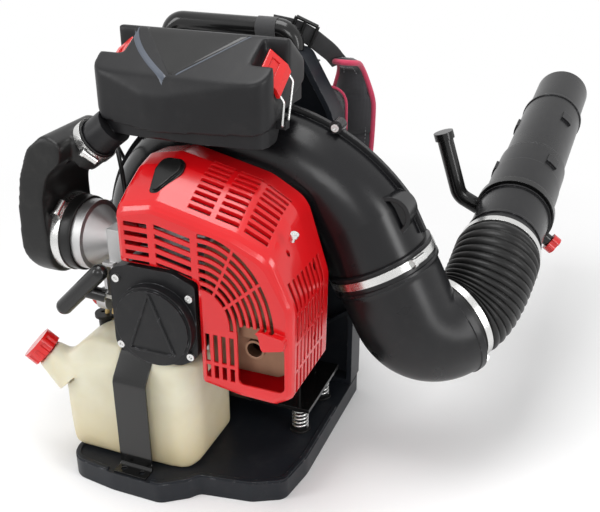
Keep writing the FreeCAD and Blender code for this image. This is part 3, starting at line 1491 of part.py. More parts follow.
def band(center, axis, radius, width, screw_side):
    """A worm-drive clamp: a thin steel band with its screw housing."""
    start = center - axis * width / 2
    strip = sleeve(start, axis, radius + 1.2, radius + 0.02, width)
    out = unit(screw_side - axis * axis.dot(screw_side))
    along = axis.cross(out)
    place = center + out * (radius + 3.4)
    housing = rod(place - along * 8, along, 4.2, 16)
    head = rod(place + along * 8, along, 5.4, 4)
    tongue = rod(place - out * 3.2, out, 3.0, 4)
    body = joined([strip, housing, head, tongue])
    return body.cut(rod(start - axis * 5, axis, radius + 0.02, width + 10)).removeSplitter()


def make_intake_clamps():
    upper = band(duct_spout, spout_axis, upper_hose_radius, 10, V(0.3, -0.86, -0.38))
    lower = band(V(-150, cylinder_y, carburetor_z), X_AXIS, lower_hose_radius, 12, V(0, -0.55, 0.83))
    return Part.makeCompound([upper, lower])


# The air tube: elbow, bellows and pipes

tube_axis = unit(tube_direction)
elbow_seam = outlet_start + outlet_axis * (collar_start + collar_length)
bend_start = outlet_start + outlet_axis * elbow_drop
exit_axis = unit(elbow_exit)
bend_angle = outlet_axis.getAngle(exit_axis)
bend_side = unit(exit_axis - outlet_axis * outlet_axis.dot(exit_axis))
bend_end = bend_start + (outlet_axis * math.sin(bend_angle) + bend_side * (1 - math.cos(bend_angle))) * elbow_bend
cuff_length = 15.0
cuff_gap = 5.0
cuff_room = spigot_radius + 6.5
elbow_wall = 3.0


def elbow_corners():
    """The two points where the elbow's three straight runs meet."""
    run = elbow_bend * math.tan(bend_angle / 4)
    return bend_start + outlet_axis * run, bend_end - exit_axis * run


def elbow_body(radius, room_radius):
    """Three short straight runs with a slightly larger ball at each corner, for a tight bend."""
    first, second = elbow_corners()
    stops = [elbow_seam, first, second, bend_end]
    runs = [rod(a, b - a, radius, (b - a).Length) for a, b in zip(stops[:-1], stops[1:])]
    before_end = rod(bend_end - exit_axis * 300, exit_axis, 240, 300)
    balls = [Part.makeSphere(radius + 0.5, corner).common(before_end) for corner in (first, second)]
    middle = runs[1].common(before_end)
    room_start = bend_end + exit_axis * (radius - elbow_radius + cuff_gap - beside)
    first_run = runs[0].cut(rod(room_start, exit_axis, room_radius, 60))
    return first_run.fuse([middle, runs[2]] + balls)


def make_elbow():
    mouth_radius = outlet_radius + slide_fit
    begin = outlet_start + outlet_axis * collar_start
    mouth = rod(begin + outlet_axis * beside, outlet_axis, outlet_radius + 4.0, collar_length + 4)
    bead = rod(bend_end - exit_axis * 7, exit_axis, elbow_radius + 1.5, 8)
    step = Part.makeCone(elbow_radius - 0.7, spigot_radius + 5, 4, bend_end + exit_axis * 0.5, exit_axis)
    spigot = rod(bend_end, exit_axis, spigot_radius, cuff_length + 5)
    body = joined([elbow_body(elbow_radius, cuff_room), mouth, bead, step, spigot])
    body = body.cut(elbow_body(elbow_radius - elbow_wall, cuff_room + elbow_wall))
    body = body.cut(rod(begin - outlet_axis, outlet_axis, mouth_radius, collar_length + 1 + beside))
    body = body.cut(rod(bend_end - exit_axis * 4, exit_axis, spigot_radius - 3, cuff_length + 16))
    return body.removeSplitter()


def make_elbow_clamps():
    """The band round the elbow's mouth, and the one that holds the bellows on its other end."""
    center = outlet_start + outlet_axis * (collar_start + 11)
    mouth = band(center, outlet_axis, outlet_radius + 4.0, 9, V(0.72, -0.45, 0.35))
    lower = band(cuff_a_start + exit_axis * 9.5, exit_axis, spigot_radius + 3.5, 8, V(0.45, -0.30, -0.84))
    return Part.makeCompound([mouth, lower])


cuff_a_start = bend_end + exit_axis * cuff_gap
bellows_start = cuff_a_start + exit_axis * (cuff_length + 0.5)
bellows_end = V(tube_start)


def bellows_curve(t):
    """A smooth curve that leaves the elbow along its exit and meets the pipe along its axis."""
    pull = 88.0
    a = 2 * t ** 3 - 3 * t ** 2 + 1
    b = t ** 3 - 2 * t ** 2 + t
    c = -2 * t ** 3 + 3 * t ** 2
    d = t ** 3 - t ** 2
    point = bellows_start * a + exit_axis * (pull * b) + bellows_end * c + tube_axis * (pull * d)
    slope = (bellows_start * (6 * t ** 2 - 6 * t) + exit_axis * (pull * (3 * t ** 2 - 4 * t + 1))
             + bellows_end * (6 * t - 6 * t ** 2) + tube_axis * (pull * (3 * t ** 2 - 2 * t)))
    return point, unit(slope)


def ring_at(point, heading, radius):
    side = unit(heading.cross(Z_AXIS))
    return ring_wire(point, side, unit(side.cross(heading)), radius)


def bellows_ring(t, radius):
    point, heading = bellows_curve(t)
    return ring_at(point, heading, radius)


def walled_tube(outside, inside):
    """A tube's wall as one solid: ruled bands between rings outside and inside, and two end faces."""
    faces = []
    for rings in (outside, inside):
        for first, second in zip(rings[:-1], rings[1:]):
            for one, other in zip(first.Edges, second.Edges):
                faces.append(Part.makeRuledSurface(one, other, 1))
    for k in (0, -1):
        faces.append(Part.Face(outside[k]).cut(Part.Face(inside[k])).Faces[0])
    shell = Part.makeShell(faces)
    shell.sewShape()
    solid = Part.Solid(shell)
    if solid.Volume < 0:
        solid.reverse()
    return solid


def make_flexible_tube():
    """The ribbed rubber tube: a plain cuff over each pipe end, and ribs between the cuffs."""
    cuff_wall = 3.5
    fit = 0.02
    pipe_end = bellows_end + tube_axis * (cuff_length + 1)
    count = 2 * bellows_ribs
    outside = [ring_at(cuff_a_start, exit_axis, spigot_radius + cuff_wall),
               bellows_ring(0, spigot_radius + cuff_wall)]
    inside = [ring_at(cuff_a_start, exit_axis, spigot_radius + fit), bellows_ring(0, spigot_radius + fit)]
    for k in range(1, count):
        outside.append(bellows_ring(k / count, bellows_radius - (0 if k % 2 else bellows_depth)))
        inside.append(bellows_ring(k / count, spigot_radius + fit + (swivel_radius - spigot_radius) * k / count))
    outside += [bellows_ring(1, swivel_radius + cuff_wall), ring_at(pipe_end, tube_axis, swivel_radius + cuff_wall)]
    inside += [bellows_ring(1, swivel_radius + fit), ring_at(pipe_end, tube_axis, swivel_radius + fit)]
    return walled_tube(outside, inside)


def along_tube(s):
    return tube_start + tube_axis * s


tube_side = unit(tube_axis.cross(Z_AXIS))
tube_up = unit(tube_side.cross(tube_axis))


def pipe(s0, s1, outer):
    return sleeve(along_tube(s0), tube_axis, outer, outer - pipe_wall, s1 - s0)


def bayonet_lugs(s, radius, count):
    """Short raised ramps round a pipe's end that lock it in the next pipe."""
    out = []
    for k in range(count):
        angle = 360.0 * k / count + 70
        ring = sleeve(along_tube(s), tube_axis, radius + 3.0, radius - 1.0, 18)
        wedge = block(0, radius + 8, -9, 9, -1, 19)
        turn = FreeCAD.Rotation(Z_AXIS, tube_axis)
        wedge.rotate(V(0, 0, 0), Z_AXIS, angle)
        wedge.Placement = FreeCAD.Placement(along_tube(s), turn).multiply(wedge.Placement)
        out.append(ring.common(wedge))
    return out


def make_swivel_pipe():
    """The pipe that carries the handle's ring and ends in a wider socket."""
    barrel = pipe(0.5, swivel_end - 46, swivel_radius)
    socket_radius = middle_radius + slide_fit + 3.2
    socket = sleeve(along_tube(swivel_end - 48), tube_axis, socket_radius, middle_radius + slide_fit, 48)
    bulge = sleeve(along_tube(swivel_end - 48), tube_axis, swivel_radius, middle_radius + slide_fit, 4)
    bead = sleeve(along_tube(28), tube_axis, swivel_radius + 1.6, swivel_radius - 1, 4)
    stops = [sleeve(along_tube(s), tube_axis, swivel_radius + 2.0, swivel_radius - 1, 3)
             for s in (handle_ring_at - 11, handle_ring_at + 8)]
    body = joined([barrel, socket, bulge, bead] + stops)
    body = body.fuse(bayonet_lugs(swivel_end - 34, socket_radius, 3))
    return body.removeSplitter()


def make_middle_pipe():
    barrel = pipe(middle_start, middle_end - 76, middle_radius)
    socket_radius = end_radius + slide_fit + 3.4
    socket = sleeve(along_tube(middle_end - 80), tube_axis, socket_radius, end_radius + slide_fit, 80)
    bead = sleeve(along_tube(middle_end - 4), tube_axis, socket_radius + 1.4, socket_radius - 1, 4)
    stop = sleeve(along_tube(swivel_end + beside), tube_axis, middle_radius + 3.0, middle_radius - 1, 4)
    body = joined([barrel, socket, bead, stop])
    body = body.fuse(bayonet_lugs(middle_end - 62, socket_radius, 3))
    return body.removeSplitter()


def make_end_pipe():
    barrel = pipe(end_start, tip_end, end_radius)
    collar = sleeve(along_tube(middle_end + 1), tube_axis, end_radius + 2.6, end_radius - 1, 5)
    return joined([barrel, collar])


def make_cuff_clamp():
    """The steel band that holds the bellows on the pipe."""
    return band(tube_start + tube_axis * 8, tube_axis, swivel_radius + 3.5, 9, V(0.8, 0.1, -0.6))


# The control handle on its ring, and the knob that clamps it

ring_gap = 0.06
handle_ring_width = 14.0
knob_angle = math.radians(-38.0)
knob_out = tube_side * math.cos(knob_angle) + tube_up * math.sin(knob_angle)


def make_control_handle():
    """A ring round the pipe and a bent grip that leans up and inwards."""
    start = along_tube(handle_ring_at - handle_ring_width / 2 + 2)
    ring = sleeve(start, tube_axis, swivel_radius + 5.0, swivel_radius + ring_gap, handle_ring_width - 4)
    root = along_tube(handle_ring_at) - tube_side * (swivel_radius + 2)
    elbow_point = V(232, 262, 262)
    top = V(204, 262, 346)
    grip = round_bar([root, elbow_point, top], [24.0], 10.5)
    knob_end = rod(top - unit(top - elbow_point) * 9, top - elbow_point, 13.0, 10)
    post = rod(along_tube(handle_ring_at) + knob_out * (swivel_radius + 3), knob_out, 8.0, 10)
    body = joined([ring, grip, knob_end, post])
    body = body.cut(rod(along_tube(handle_ring_at - 30), tube_axis, swivel_radius + ring_gap, 60))
    for begin in (handle_ring_at - 50, handle_ring_at + handle_ring_width / 2 - 2):
        body = body.cut(rod(along_tube(begin), tube_axis, swivel_radius + 2.5, 52 - handle_ring_width / 2))
    body = body.cut(rod(along_tube(handle_ring_at) + knob_out * (swivel_radius - 4), knob_out,
                        3.0 + shaft_fit, 30))
    return body.removeSplitter()


def make_clamp_knob():
    seat = along_tube(handle_ring_at) + knob_out * (swivel_radius + 13 + beside)
    head = rod(seat, knob_out, 12.0, 11)
    turn = FreeCAD.Rotation(Z_AXIS, knob_out)
    for k in range(3):
        angle = math.radians(120 * k + 20)
        local = turn.multVec(V(math.cos(angle), math.sin(angle), 0))
        head = head.cut(rod(seat + local * 15 - knob_out, knob_out, 6.0, 14))
    shank = rod(seat - knob_out * 12, knob_out, 3.0, 13)
    return head.fuse(shank).removeSplitter()


# The throttle arm at the wearer's left hip

arm_pivot = V(-half_base, 128.0, 150.0)
arm_out = -16.0
arm_length = 176.0
arm_tilt = unit(V(0, 1.0, 0.14))
arm_up = unit(V(0, -0.14, 1.0))


def make_throttle_arm():
    """A tube hinged on the frame's left side, with an upright grip and its pivot boss."""
    root = arm_pivot + V(arm_out, 0, 0)
    far = root + arm_tilt * arm_length
    top = far + arm_up * 96
    tube = round_bar([root, far, top], [30.0], 8.0)
    grip = rod(far + arm_up * 34, arm_up, 14.0, 62)
    boss = rod(arm_pivot - X_AXIS * (beside + arm_boss), X_AXIS, 15.0, arm_boss)
    body = joined([tube, grip, boss])
    pin_way = rod(arm_pivot - X_AXIS * (arm_boss + 2), X_AXIS, arm_bolt + shaft_fit, arm_boss + 6)
    slot = block(far.x - 3.2, far.x + 3.2, far.y - 14, far.y + 40, far.z + 30, far.z + 78)
    body = body.cut(pin_way).cut(slot)
    lever_pin = rod(throttle_pin() - X_AXIS * 12, X_AXIS, 1.5, 24)
    switch_way = rod(top - arm_up * 18, arm_up, switch_radius, 20)
    return body.fuse(lever_pin).cut(switch_way).removeSplitter()


arm_boss = 24.0
arm_bolt = 4.0
switch_radius = 4.0


def arm_pivot_bolt():
    """The bolt that the arm turns on, through the frame's side wall, with its nut inside."""
    head = rod(arm_pivot - X_AXIS * (2 * beside + arm_boss + 4.0), X_AXIS, 8.0, 4.0)
    shank = rod(arm_pivot - X_AXIS * (beside + arm_boss + 1), X_AXIS, arm_bolt, arm_boss + beside + frame_rim + 1)
    nut = rod(arm_pivot + X_AXIS * frame_rim, X_AXIS, 7.0, 5)
    return joined([head, shank, nut])


def throttle_pin():
    root = arm_pivot + V(arm_out, 0, 0)
    return root + arm_tilt * (arm_length + 6) + arm_up * 66


def make_throttle_lever():
    """The finger lever, in the grip's slot and pointing forward."""
    pin = throttle_pin()
    outline_x = pin.x - 2.6
    points = [(-8, 5, 3), (-8, -7, 3), (12, -16, 4), (26, -27, 3), (32, -24, 3), (24, -8, 6), (10, 4, 6)]
    def place(u, w):
        p = pin + arm_tilt * u + arm_up * w
        return V(outline_x, p.y, p.z)
    lever = prism(points, place, V(5.2, 0, 0))
    return lever.cut(rod(pin - X_AXIS * 10, X_AXIS, 1.5 + shaft_fit, 20))


def make_stop_switch():
    root = arm_pivot + V(arm_out, 0, 0)
    top = root + arm_tilt * arm_length + arm_up * 96
    stem = rod(top - arm_up * 13, arm_up, switch_radius - shaft_fit, 16)
    head = rod(top + arm_up * 2.8, arm_up, 6.0, 4.0)
    return stem.fuse(head).removeSplitter()


def make_throttle_cable():
    """The cable's sheath from the hip bracket, up behind the fan case, to the carburetor."""
    route = [V(-139, 108, 168), V(-144, 106, 214), V(-156, 100, 258), V(-168, 92, 300), V(-176, 76, 340),
             V(-160, 42, 372), V(-132, 6, 378), V(-106, -22, 354), V(-92, -40, 320)]
    return round_bar(route, cable_radii(route), 2.6)


# Writing the pieces

def write_piece(name, shape):
    good = "valid" if shape.isValid() else "NOT VALID"
    print("%-22s %2d solids  %9.0f mm3  %s" % (name, len(shape.Solids), shape.Volume, good), flush=True)
    shape.exportStep("parts/%s.step" % name)


makers = {
    "base_plate": make_base_plate,
    "back_frame": make_back_frame,
    "carry_handle": make_carry_handle,
    "back_pad_upper": lambda: make_back_pad(318, 420),
    "back_pad_lower": lambda: make_back_pad(60, 138),
    "shoulder_pads": make_shoulder_pads,
    "strap_webbing": make_strap_webbing,
    "strap_buckles": make_strap_buckles,
    "isolator_springs": make_isolator_springs,
    "engine_cradle": make_engine_cradle,
    "rubber_mounts": make_rubber_mounts,
    "fan_case_front": make_fan_case_front,
    "fan_case_back": make_fan_case_back,
    "fan_impeller": make_fan_impeller,
    "flywheel": make_flywheel,
    "crankshaft": make_crankshaft,
    "connecting_rod": make_connecting_rod,
    "piston": make_piston,
    "main_bearings": make_main_bearings,
    "crankcase": make_crankcase,
    "cylinder": make_cylinder,
    "spark_plug": make_spark_plug,
    "plug_boot": make_plug_boot,
    "ignition_coil": make_ignition_coil,
    "muffler": make_muffler,
    "carburetor": make_carburetor,
    "primer_bulb": make_primer_bulb,
    "engine_cover": make_engine_cover,
    "plug_access_cap": make_plug_access_cap,
    "starter_housing": make_starter_housing,
    "recoil_spring": make_recoil_spring,
    "starter_pulley": make_starter_pulley,
    "starter_grip": make_starter_grip,
    "starter_rope": make_starter_rope,
    "fuel_tank": make_fuel_tank,
    "fuel_cap": make_fuel_cap,
    "tank_strap": make_tank_strap,
    "tank_grommet": make_tank_grommet,
    "fuel_lines": make_fuel_lines,
    "air_cleaner_cover": make_air_cleaner_cover,
    "air_cleaner_case": make_air_cleaner_case,
    "air_filter": make_air_filter,
    "latch_right": lambda: make_latch(1),
    "latch_left": lambda: make_latch(-1),
    "intake_duct": make_intake_duct,
    "intake_clamps": make_intake_clamps,
    "elbow": make_elbow,
    "elbow_clamps": make_elbow_clamps,
    "cuff_clamp": make_cuff_clamp,
    "flexible_tube": make_flexible_tube,
    "swivel_pipe": make_swivel_pipe,
    "middle_pipe": make_middle_pipe,
    "end_pipe": make_end_pipe,
    "control_handle": make_control_handle,
    "clamp_knob": make_clamp_knob,
    "throttle_arm": make_throttle_arm,
    "throttle_lever": make_throttle_lever,
    "stop_switch": make_stop_switch,
    "throttle_cable": make_throttle_cable,
    "screws": make_screws,
}

os.makedirs("parts", exist_ok=True)
for piece_name, maker in makers.items():
    write_piece(piece_name, maker())
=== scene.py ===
# %% [markdown]
# # A backpack leaf blower, dressed for a photograph
# The solids of the blower come in as a fixed frame: every part is already the right size and in the
# right place. This lesson gives them their surfaces. Hard plastics and metals keep the frame's own
# solids and get node materials. What is soft, blown or bent in the real machine is made again here:
# pads, webbing, the ribbed hose, the cables, the fuel tank and the rubber duct.

# %% Load the frame
import json
import math

import bpy
import numpy as np
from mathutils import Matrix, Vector
from mathutils.bvhtree import BVHTree


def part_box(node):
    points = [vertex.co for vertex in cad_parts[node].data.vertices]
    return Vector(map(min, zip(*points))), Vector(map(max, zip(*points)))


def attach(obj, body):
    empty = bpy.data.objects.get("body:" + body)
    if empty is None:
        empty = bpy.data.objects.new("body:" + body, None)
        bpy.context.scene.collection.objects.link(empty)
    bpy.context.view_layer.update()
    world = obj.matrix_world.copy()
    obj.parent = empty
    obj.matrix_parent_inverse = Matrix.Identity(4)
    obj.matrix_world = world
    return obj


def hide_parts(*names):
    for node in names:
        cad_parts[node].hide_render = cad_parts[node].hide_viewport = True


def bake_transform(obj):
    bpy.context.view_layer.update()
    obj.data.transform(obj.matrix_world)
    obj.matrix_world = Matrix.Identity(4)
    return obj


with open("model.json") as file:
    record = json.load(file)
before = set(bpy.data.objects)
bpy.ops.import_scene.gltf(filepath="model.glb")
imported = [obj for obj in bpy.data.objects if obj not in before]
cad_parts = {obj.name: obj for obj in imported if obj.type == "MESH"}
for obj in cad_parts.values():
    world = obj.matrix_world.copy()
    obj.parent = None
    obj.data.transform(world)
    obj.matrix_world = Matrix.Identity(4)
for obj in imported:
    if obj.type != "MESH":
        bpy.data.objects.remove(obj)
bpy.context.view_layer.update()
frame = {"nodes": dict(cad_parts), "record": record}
nodes = frame["nodes"]
MM = 0.001

# %% [markdown]
# ## Camera, floor and light
# The camera stands where the photographer stood: a little above the machine, to the right of its
# engine side. Its direction and its lens were worked out from the base, the handle and the pipe.
# The floor is white and large, and it takes the soft shadow. Behind it the world is white too, but
# only for the camera and for reflections, so that the object itself is lit at a plain level.

# %% Camera
camera_place = Vector((0.4324, -0.8247, 0.7000))
camera_heading = Vector((-0.3309, 0.8357, -0.4384))
view_width_px = 600
focal_px = 870.0


def set_camera():
    """A camera looking along its heading, with the lens that gives the photograph's focal length."""
    data = bpy.data.cameras.new("photo_camera")
    data.sensor_width = 36.0
    data.lens = focal_px / view_width_px * data.sensor_width
    camera = bpy.data.objects.new("photo_camera", data)
    camera.location = camera_place
    camera.rotation_euler = camera_heading.to_track_quat("-Z", "Y").to_euler()
    bpy.context.scene.collection.objects.link(camera)
    bpy.context.scene.camera = camera
    print("camera lens", round(data.lens, 1), "mm")


set_camera()
bpy.context.scene.view_settings.view_transform = "Standard"

# %% Helpers for node trees


def new_tree(name):
    """A material, its node tree and its Principled shader."""
    material = bpy.data.materials.new(name)
    material.use_nodes = True
    return material, material.node_tree, material.node_tree.nodes["Principled BSDF"]


def put(tree, kind, **inputs):
    """A node of that kind with the named inputs set; a trailing underscore names a property."""
    node = tree.nodes.new(kind)
    for key, value in inputs.items():
        if key.endswith("_"):
            setattr(node, key[:-1], value)
        else:
            node.inputs[key.replace("_", " ")].default_value = value
    return node


def object_place(tree):
    """The place on the piece itself, in metres, so a pattern stays where it is."""
    return tree.nodes.new("ShaderNodeTexCoord").outputs["Object"]


def rgba(color):
    """A colour's three numbers with a full fourth."""
    return (color[0], color[1], color[2], 1.0)


def feed(tree, socket, value):
    """Links a socket to another, or gives it a number or a colour."""
    if hasattr(value, "links"):
        tree.links.new(value, socket)
    else:
        socket.default_value = rgba(value) if isinstance(value, (tuple, list)) else value


def mixed(tree, factor, first, second):
    """A colour between two, each given as numbers or as a socket."""
    node = tree.nodes.new("ShaderNodeMix")
    node.data_type = "RGBA"
    tree.links.new(factor, node.inputs[0])
    feed(tree, node.inputs[6], first)
    feed(tree, node.inputs[7], second)
    return node.outputs[2]


def ranged(tree, value, low, high, to_low, to_high):
    """The value, moved from one range to another and held inside it."""
    node = put(tree, "ShaderNodeMapRange", From_Min=low, From_Max=high, To_Min=to_low, To_Max=to_high)
    tree.links.new(value, node.inputs["Value"])
    return node.outputs["Result"]


def sums(tree, operation, first, second):
    """One step of arithmetic on two values, each a number or a socket."""
    node = tree.nodes.new("ShaderNodeMath")
    node.operation = operation
    feed(tree, node.inputs[0], first)
    feed(tree, node.inputs[1], second)
    return node.outputs[0]


def noise(tree, place, scale, detail=2.0, roughness=0.5):
    """Cloudy noise, with about scale clouds to the metre."""
    node = put(tree, "ShaderNodeTexNoise", Scale=scale, Detail=detail, Roughness=roughness)
    tree.links.new(place, node.inputs["Vector"])
    return node.outputs["Fac"]


# %% Floor
floor_half = 6.0
floor_drop = 0.4 * MM
paper_white = ((0.94, 0.94, 0.94), (0.96, 0.96, 0.96))
shadow_reach = 0.55
white_from = 1.15


def seen_directly(tree):
    """1 for rays that the camera, metal or glass sends out, and 0 for the rays that light the object."""
    rays = tree.nodes.new("ShaderNodeLightPath")
    seen = sums(tree, "MAXIMUM", rays.outputs["Is Camera Ray"], rays.outputs["Is Glossy Ray"])
    return sums(tree, "MAXIMUM", seen, rays.outputs["Is Transmission Ray"])


def floor_material():
    """White paper near the object; further out it is plain white to the camera and in reflections."""
    material, tree, shader = new_tree("studio_floor")
    place = object_place(tree)
    faint = ranged(tree, noise(tree, place, 3.0), 0.3, 0.7, 0.0, 1.0)
    tree.links.new(mixed(tree, faint, *paper_white), shader.inputs["Base Color"])
    shader.inputs["Roughness"].default_value = 0.9
    shader.inputs["Specular IOR Level"].default_value = 0.1
    distance = put(tree, "ShaderNodeVectorMath", operation_="LENGTH")
    tree.links.new(place, distance.inputs[0])
    far = ranged(tree, distance.outputs["Value"], shadow_reach, white_from, 0.0, 1.0)
    white = tree.nodes.new("ShaderNodeEmission")
    white.inputs["Strength"].default_value = 1.0
    blend = tree.nodes.new("ShaderNodeMixShader")
    tree.links.new(sums(tree, "MULTIPLY", seen_directly(tree), far), blend.inputs["Fac"])
    tree.links.new(shader.outputs["BSDF"], blend.inputs[1])
    tree.links.new(white.outputs["Emission"], blend.inputs[2])
    tree.links.new(blend.outputs["Shader"], tree.nodes["Material Output"].inputs["Surface"])
    return material


def set_floor():
    """One large square, a hair below the base so that the two never fight for the same place."""
    mesh = bpy.data.meshes.new("floor")
    corners = ((-1, -1), (1, -1), (1, 1), (-1, 1))
    mesh.from_pydata([(x * floor_half, y * floor_half, -floor_drop) for x, y in corners], [], [(0, 1, 2, 3)])
    floor = bpy.data.objects.new("floor", mesh)
    bpy.context.scene.collection.objects.link(floor)
    mesh.materials.append(floor_material())


set_floor()
print("floor", 2 * floor_half, "m wide")

# %% World and lamps
world_level = 0.55
# For each softbox: where it hangs, what it points at, its width and height in metres, its power in watts.
softboxes = {
    "top_softbox": ((-0.1, 0.0, 1.9), (0.0, 0.0, 0.2), (1.1, 0.9), 17.0),
    "left_softbox": ((-1.5, -1.3, 1.1), (0.0, 0.0, 0.25), (0.5, 1.3), 14.0),
    "right_softbox": ((1.9, -0.5, 0.9), (0.1, 0.1, 0.25), (0.45, 1.3), 13.0),
    "front_softbox": ((0.5, -2.0, 1.4), (0.0, 0.0, 0.25), (0.9, 0.6), 9.0),
}


def set_world():
    """Soft light from all round; the camera, metal and glass see it as plain white behind the floor."""
    world = bpy.data.worlds.new("studio")
    world.use_nodes = True
    tree = world.node_tree
    background = tree.nodes["Background"]
    background.inputs["Color"].default_value = rgba((1.0, 1.0, 1.0))
    strength = ranged(tree, seen_directly(tree), 0.0, 1.0, world_level, 1.0)
    tree.links.new(strength, background.inputs["Strength"])
    bpy.context.scene.world = world


def soft_lamp(name, place, target, size, power):
    """A rectangular lamp that looks at its target."""
    data = bpy.data.lights.new(name, "AREA")
    data.shape = "RECTANGLE"
    data.size, data.size_y = size
    data.energy = power
    lamp = bpy.data.objects.new(name, data)
    lamp.location = place
    lamp.rotation_euler = (Vector(target) - Vector(place)).to_track_quat("-Z", "Y").to_euler()
    bpy.context.scene.collection.objects.link(lamp)


set_world()
for lamp_name, numbers in softboxes.items():
    soft_lamp(lamp_name, *numbers)
print(len(softboxes), "lamps")

# %% [markdown]
# ## Moulded plastics
# A moulded part is never one flat colour. Its skin carries the fine grain of the mould, its gloss
# wanders a little, and its edges are rounded by half a millimetre and rubbed paler where hands and
# branches touch them. One helper makes all of these, because only the numbers differ. The rounded
# edge comes from the Bevel node, which bends the shading normal near an edge without new faces.

# %% The helper for moulded plastic
edge_samples = 6
edge_lean = (0.995, 0.80)
grain_height = 0.12 * MM
dust_color = (0.42, 0.40, 0.37)


def edge_normal(tree, radius):
    """The surface's direction as if its edges were rounded by that radius."""
    node = tree.nodes.new("ShaderNodeBevel")
    node.samples = edge_samples
    node.inputs["Radius"].default_value = radius
    return node.outputs["Normal"]


def edge_share(tree, rounded):
    """0 on a flat face and 1 on an edge: how far the rounded normal leans from the true one."""
    true_normal = tree.nodes.new("ShaderNodeNewGeometry").outputs["Normal"]
    dot = tree.nodes.new("ShaderNodeVectorMath")
    dot.operation = "DOT_PRODUCT"
    tree.links.new(rounded, dot.inputs[0])
    tree.links.new(true_normal, dot.inputs[1])
    return ranged(tree, dot.outputs["Value"], *edge_lean, 0.0, 1.0)


def bumped(tree, shader, height, strength, distance, normal=None):
    """Bends the shader's normal by a height of up to that distance, on top of another normal if given."""
    bump = put(tree, "ShaderNodeBump", Strength=strength, Distance=distance)
    tree.links.new(height, bump.inputs["Height"])
    if normal is not None:
        tree.links.new(normal, bump.inputs["Normal"])
    tree.links.new(bump.outputs["Normal"], shader.inputs["Normal"])


def moulded(name, color, rough, grain=0.3, grain_size=0.9, edge=0.7, worn=None, wear=0.5, shade=0.10,
            coat=0.0, metallic=0.0, dust=0.0, shine=0.5):
    """Moulded or cast skin: grain_size and edge are in millimetres, wear is the share of edges rubbed."""
    material, tree, shader = new_tree(name)
    place = object_place(tree)
    fine = noise(tree, place, 1000.0 / grain_size, 3.0)
    broad = noise(tree, place, 14.0, 4.0)
    dark = [c * (1.0 - shade) for c in color]
    light = [c * (1.0 + shade) for c in color]
    skin = mixed(tree, ranged(tree, broad, 0.3, 0.7, 0.0, 1.0), dark, light)
    if dust:
        specks = ranged(tree, noise(tree, place, 60.0, 6.0, 0.7), 0.50, 0.72, 0.0, dust)
        skin = mixed(tree, specks, skin, dust_color)
    rounded = edge_normal(tree, edge * MM)
    if worn is not None:
        patches = ranged(tree, noise(tree, place, 120.0, 4.0), 0.62 - 0.3 * wear, 0.72 - 0.2 * wear, 0.0, 1.0)
        skin = mixed(tree, sums(tree, "MULTIPLY", edge_share(tree, rounded), patches), skin, worn)
    tree.links.new(skin, shader.inputs["Base Color"])
    gloss = ranged(tree, broad, 0.25, 0.75, max(rough - 0.05, 0.02), rough + 0.07)
    tree.links.new(gloss, shader.inputs["Roughness"])
    shader.inputs["Metallic"].default_value = metallic
    shader.inputs["Specular IOR Level"].default_value = shine
    if coat:
        shader.inputs["Coat Weight"].default_value = coat
        shader.inputs["Coat Roughness"].default_value = 0.06
    bumped(tree, shader, fine, grain, grain_height, rounded)
    return material


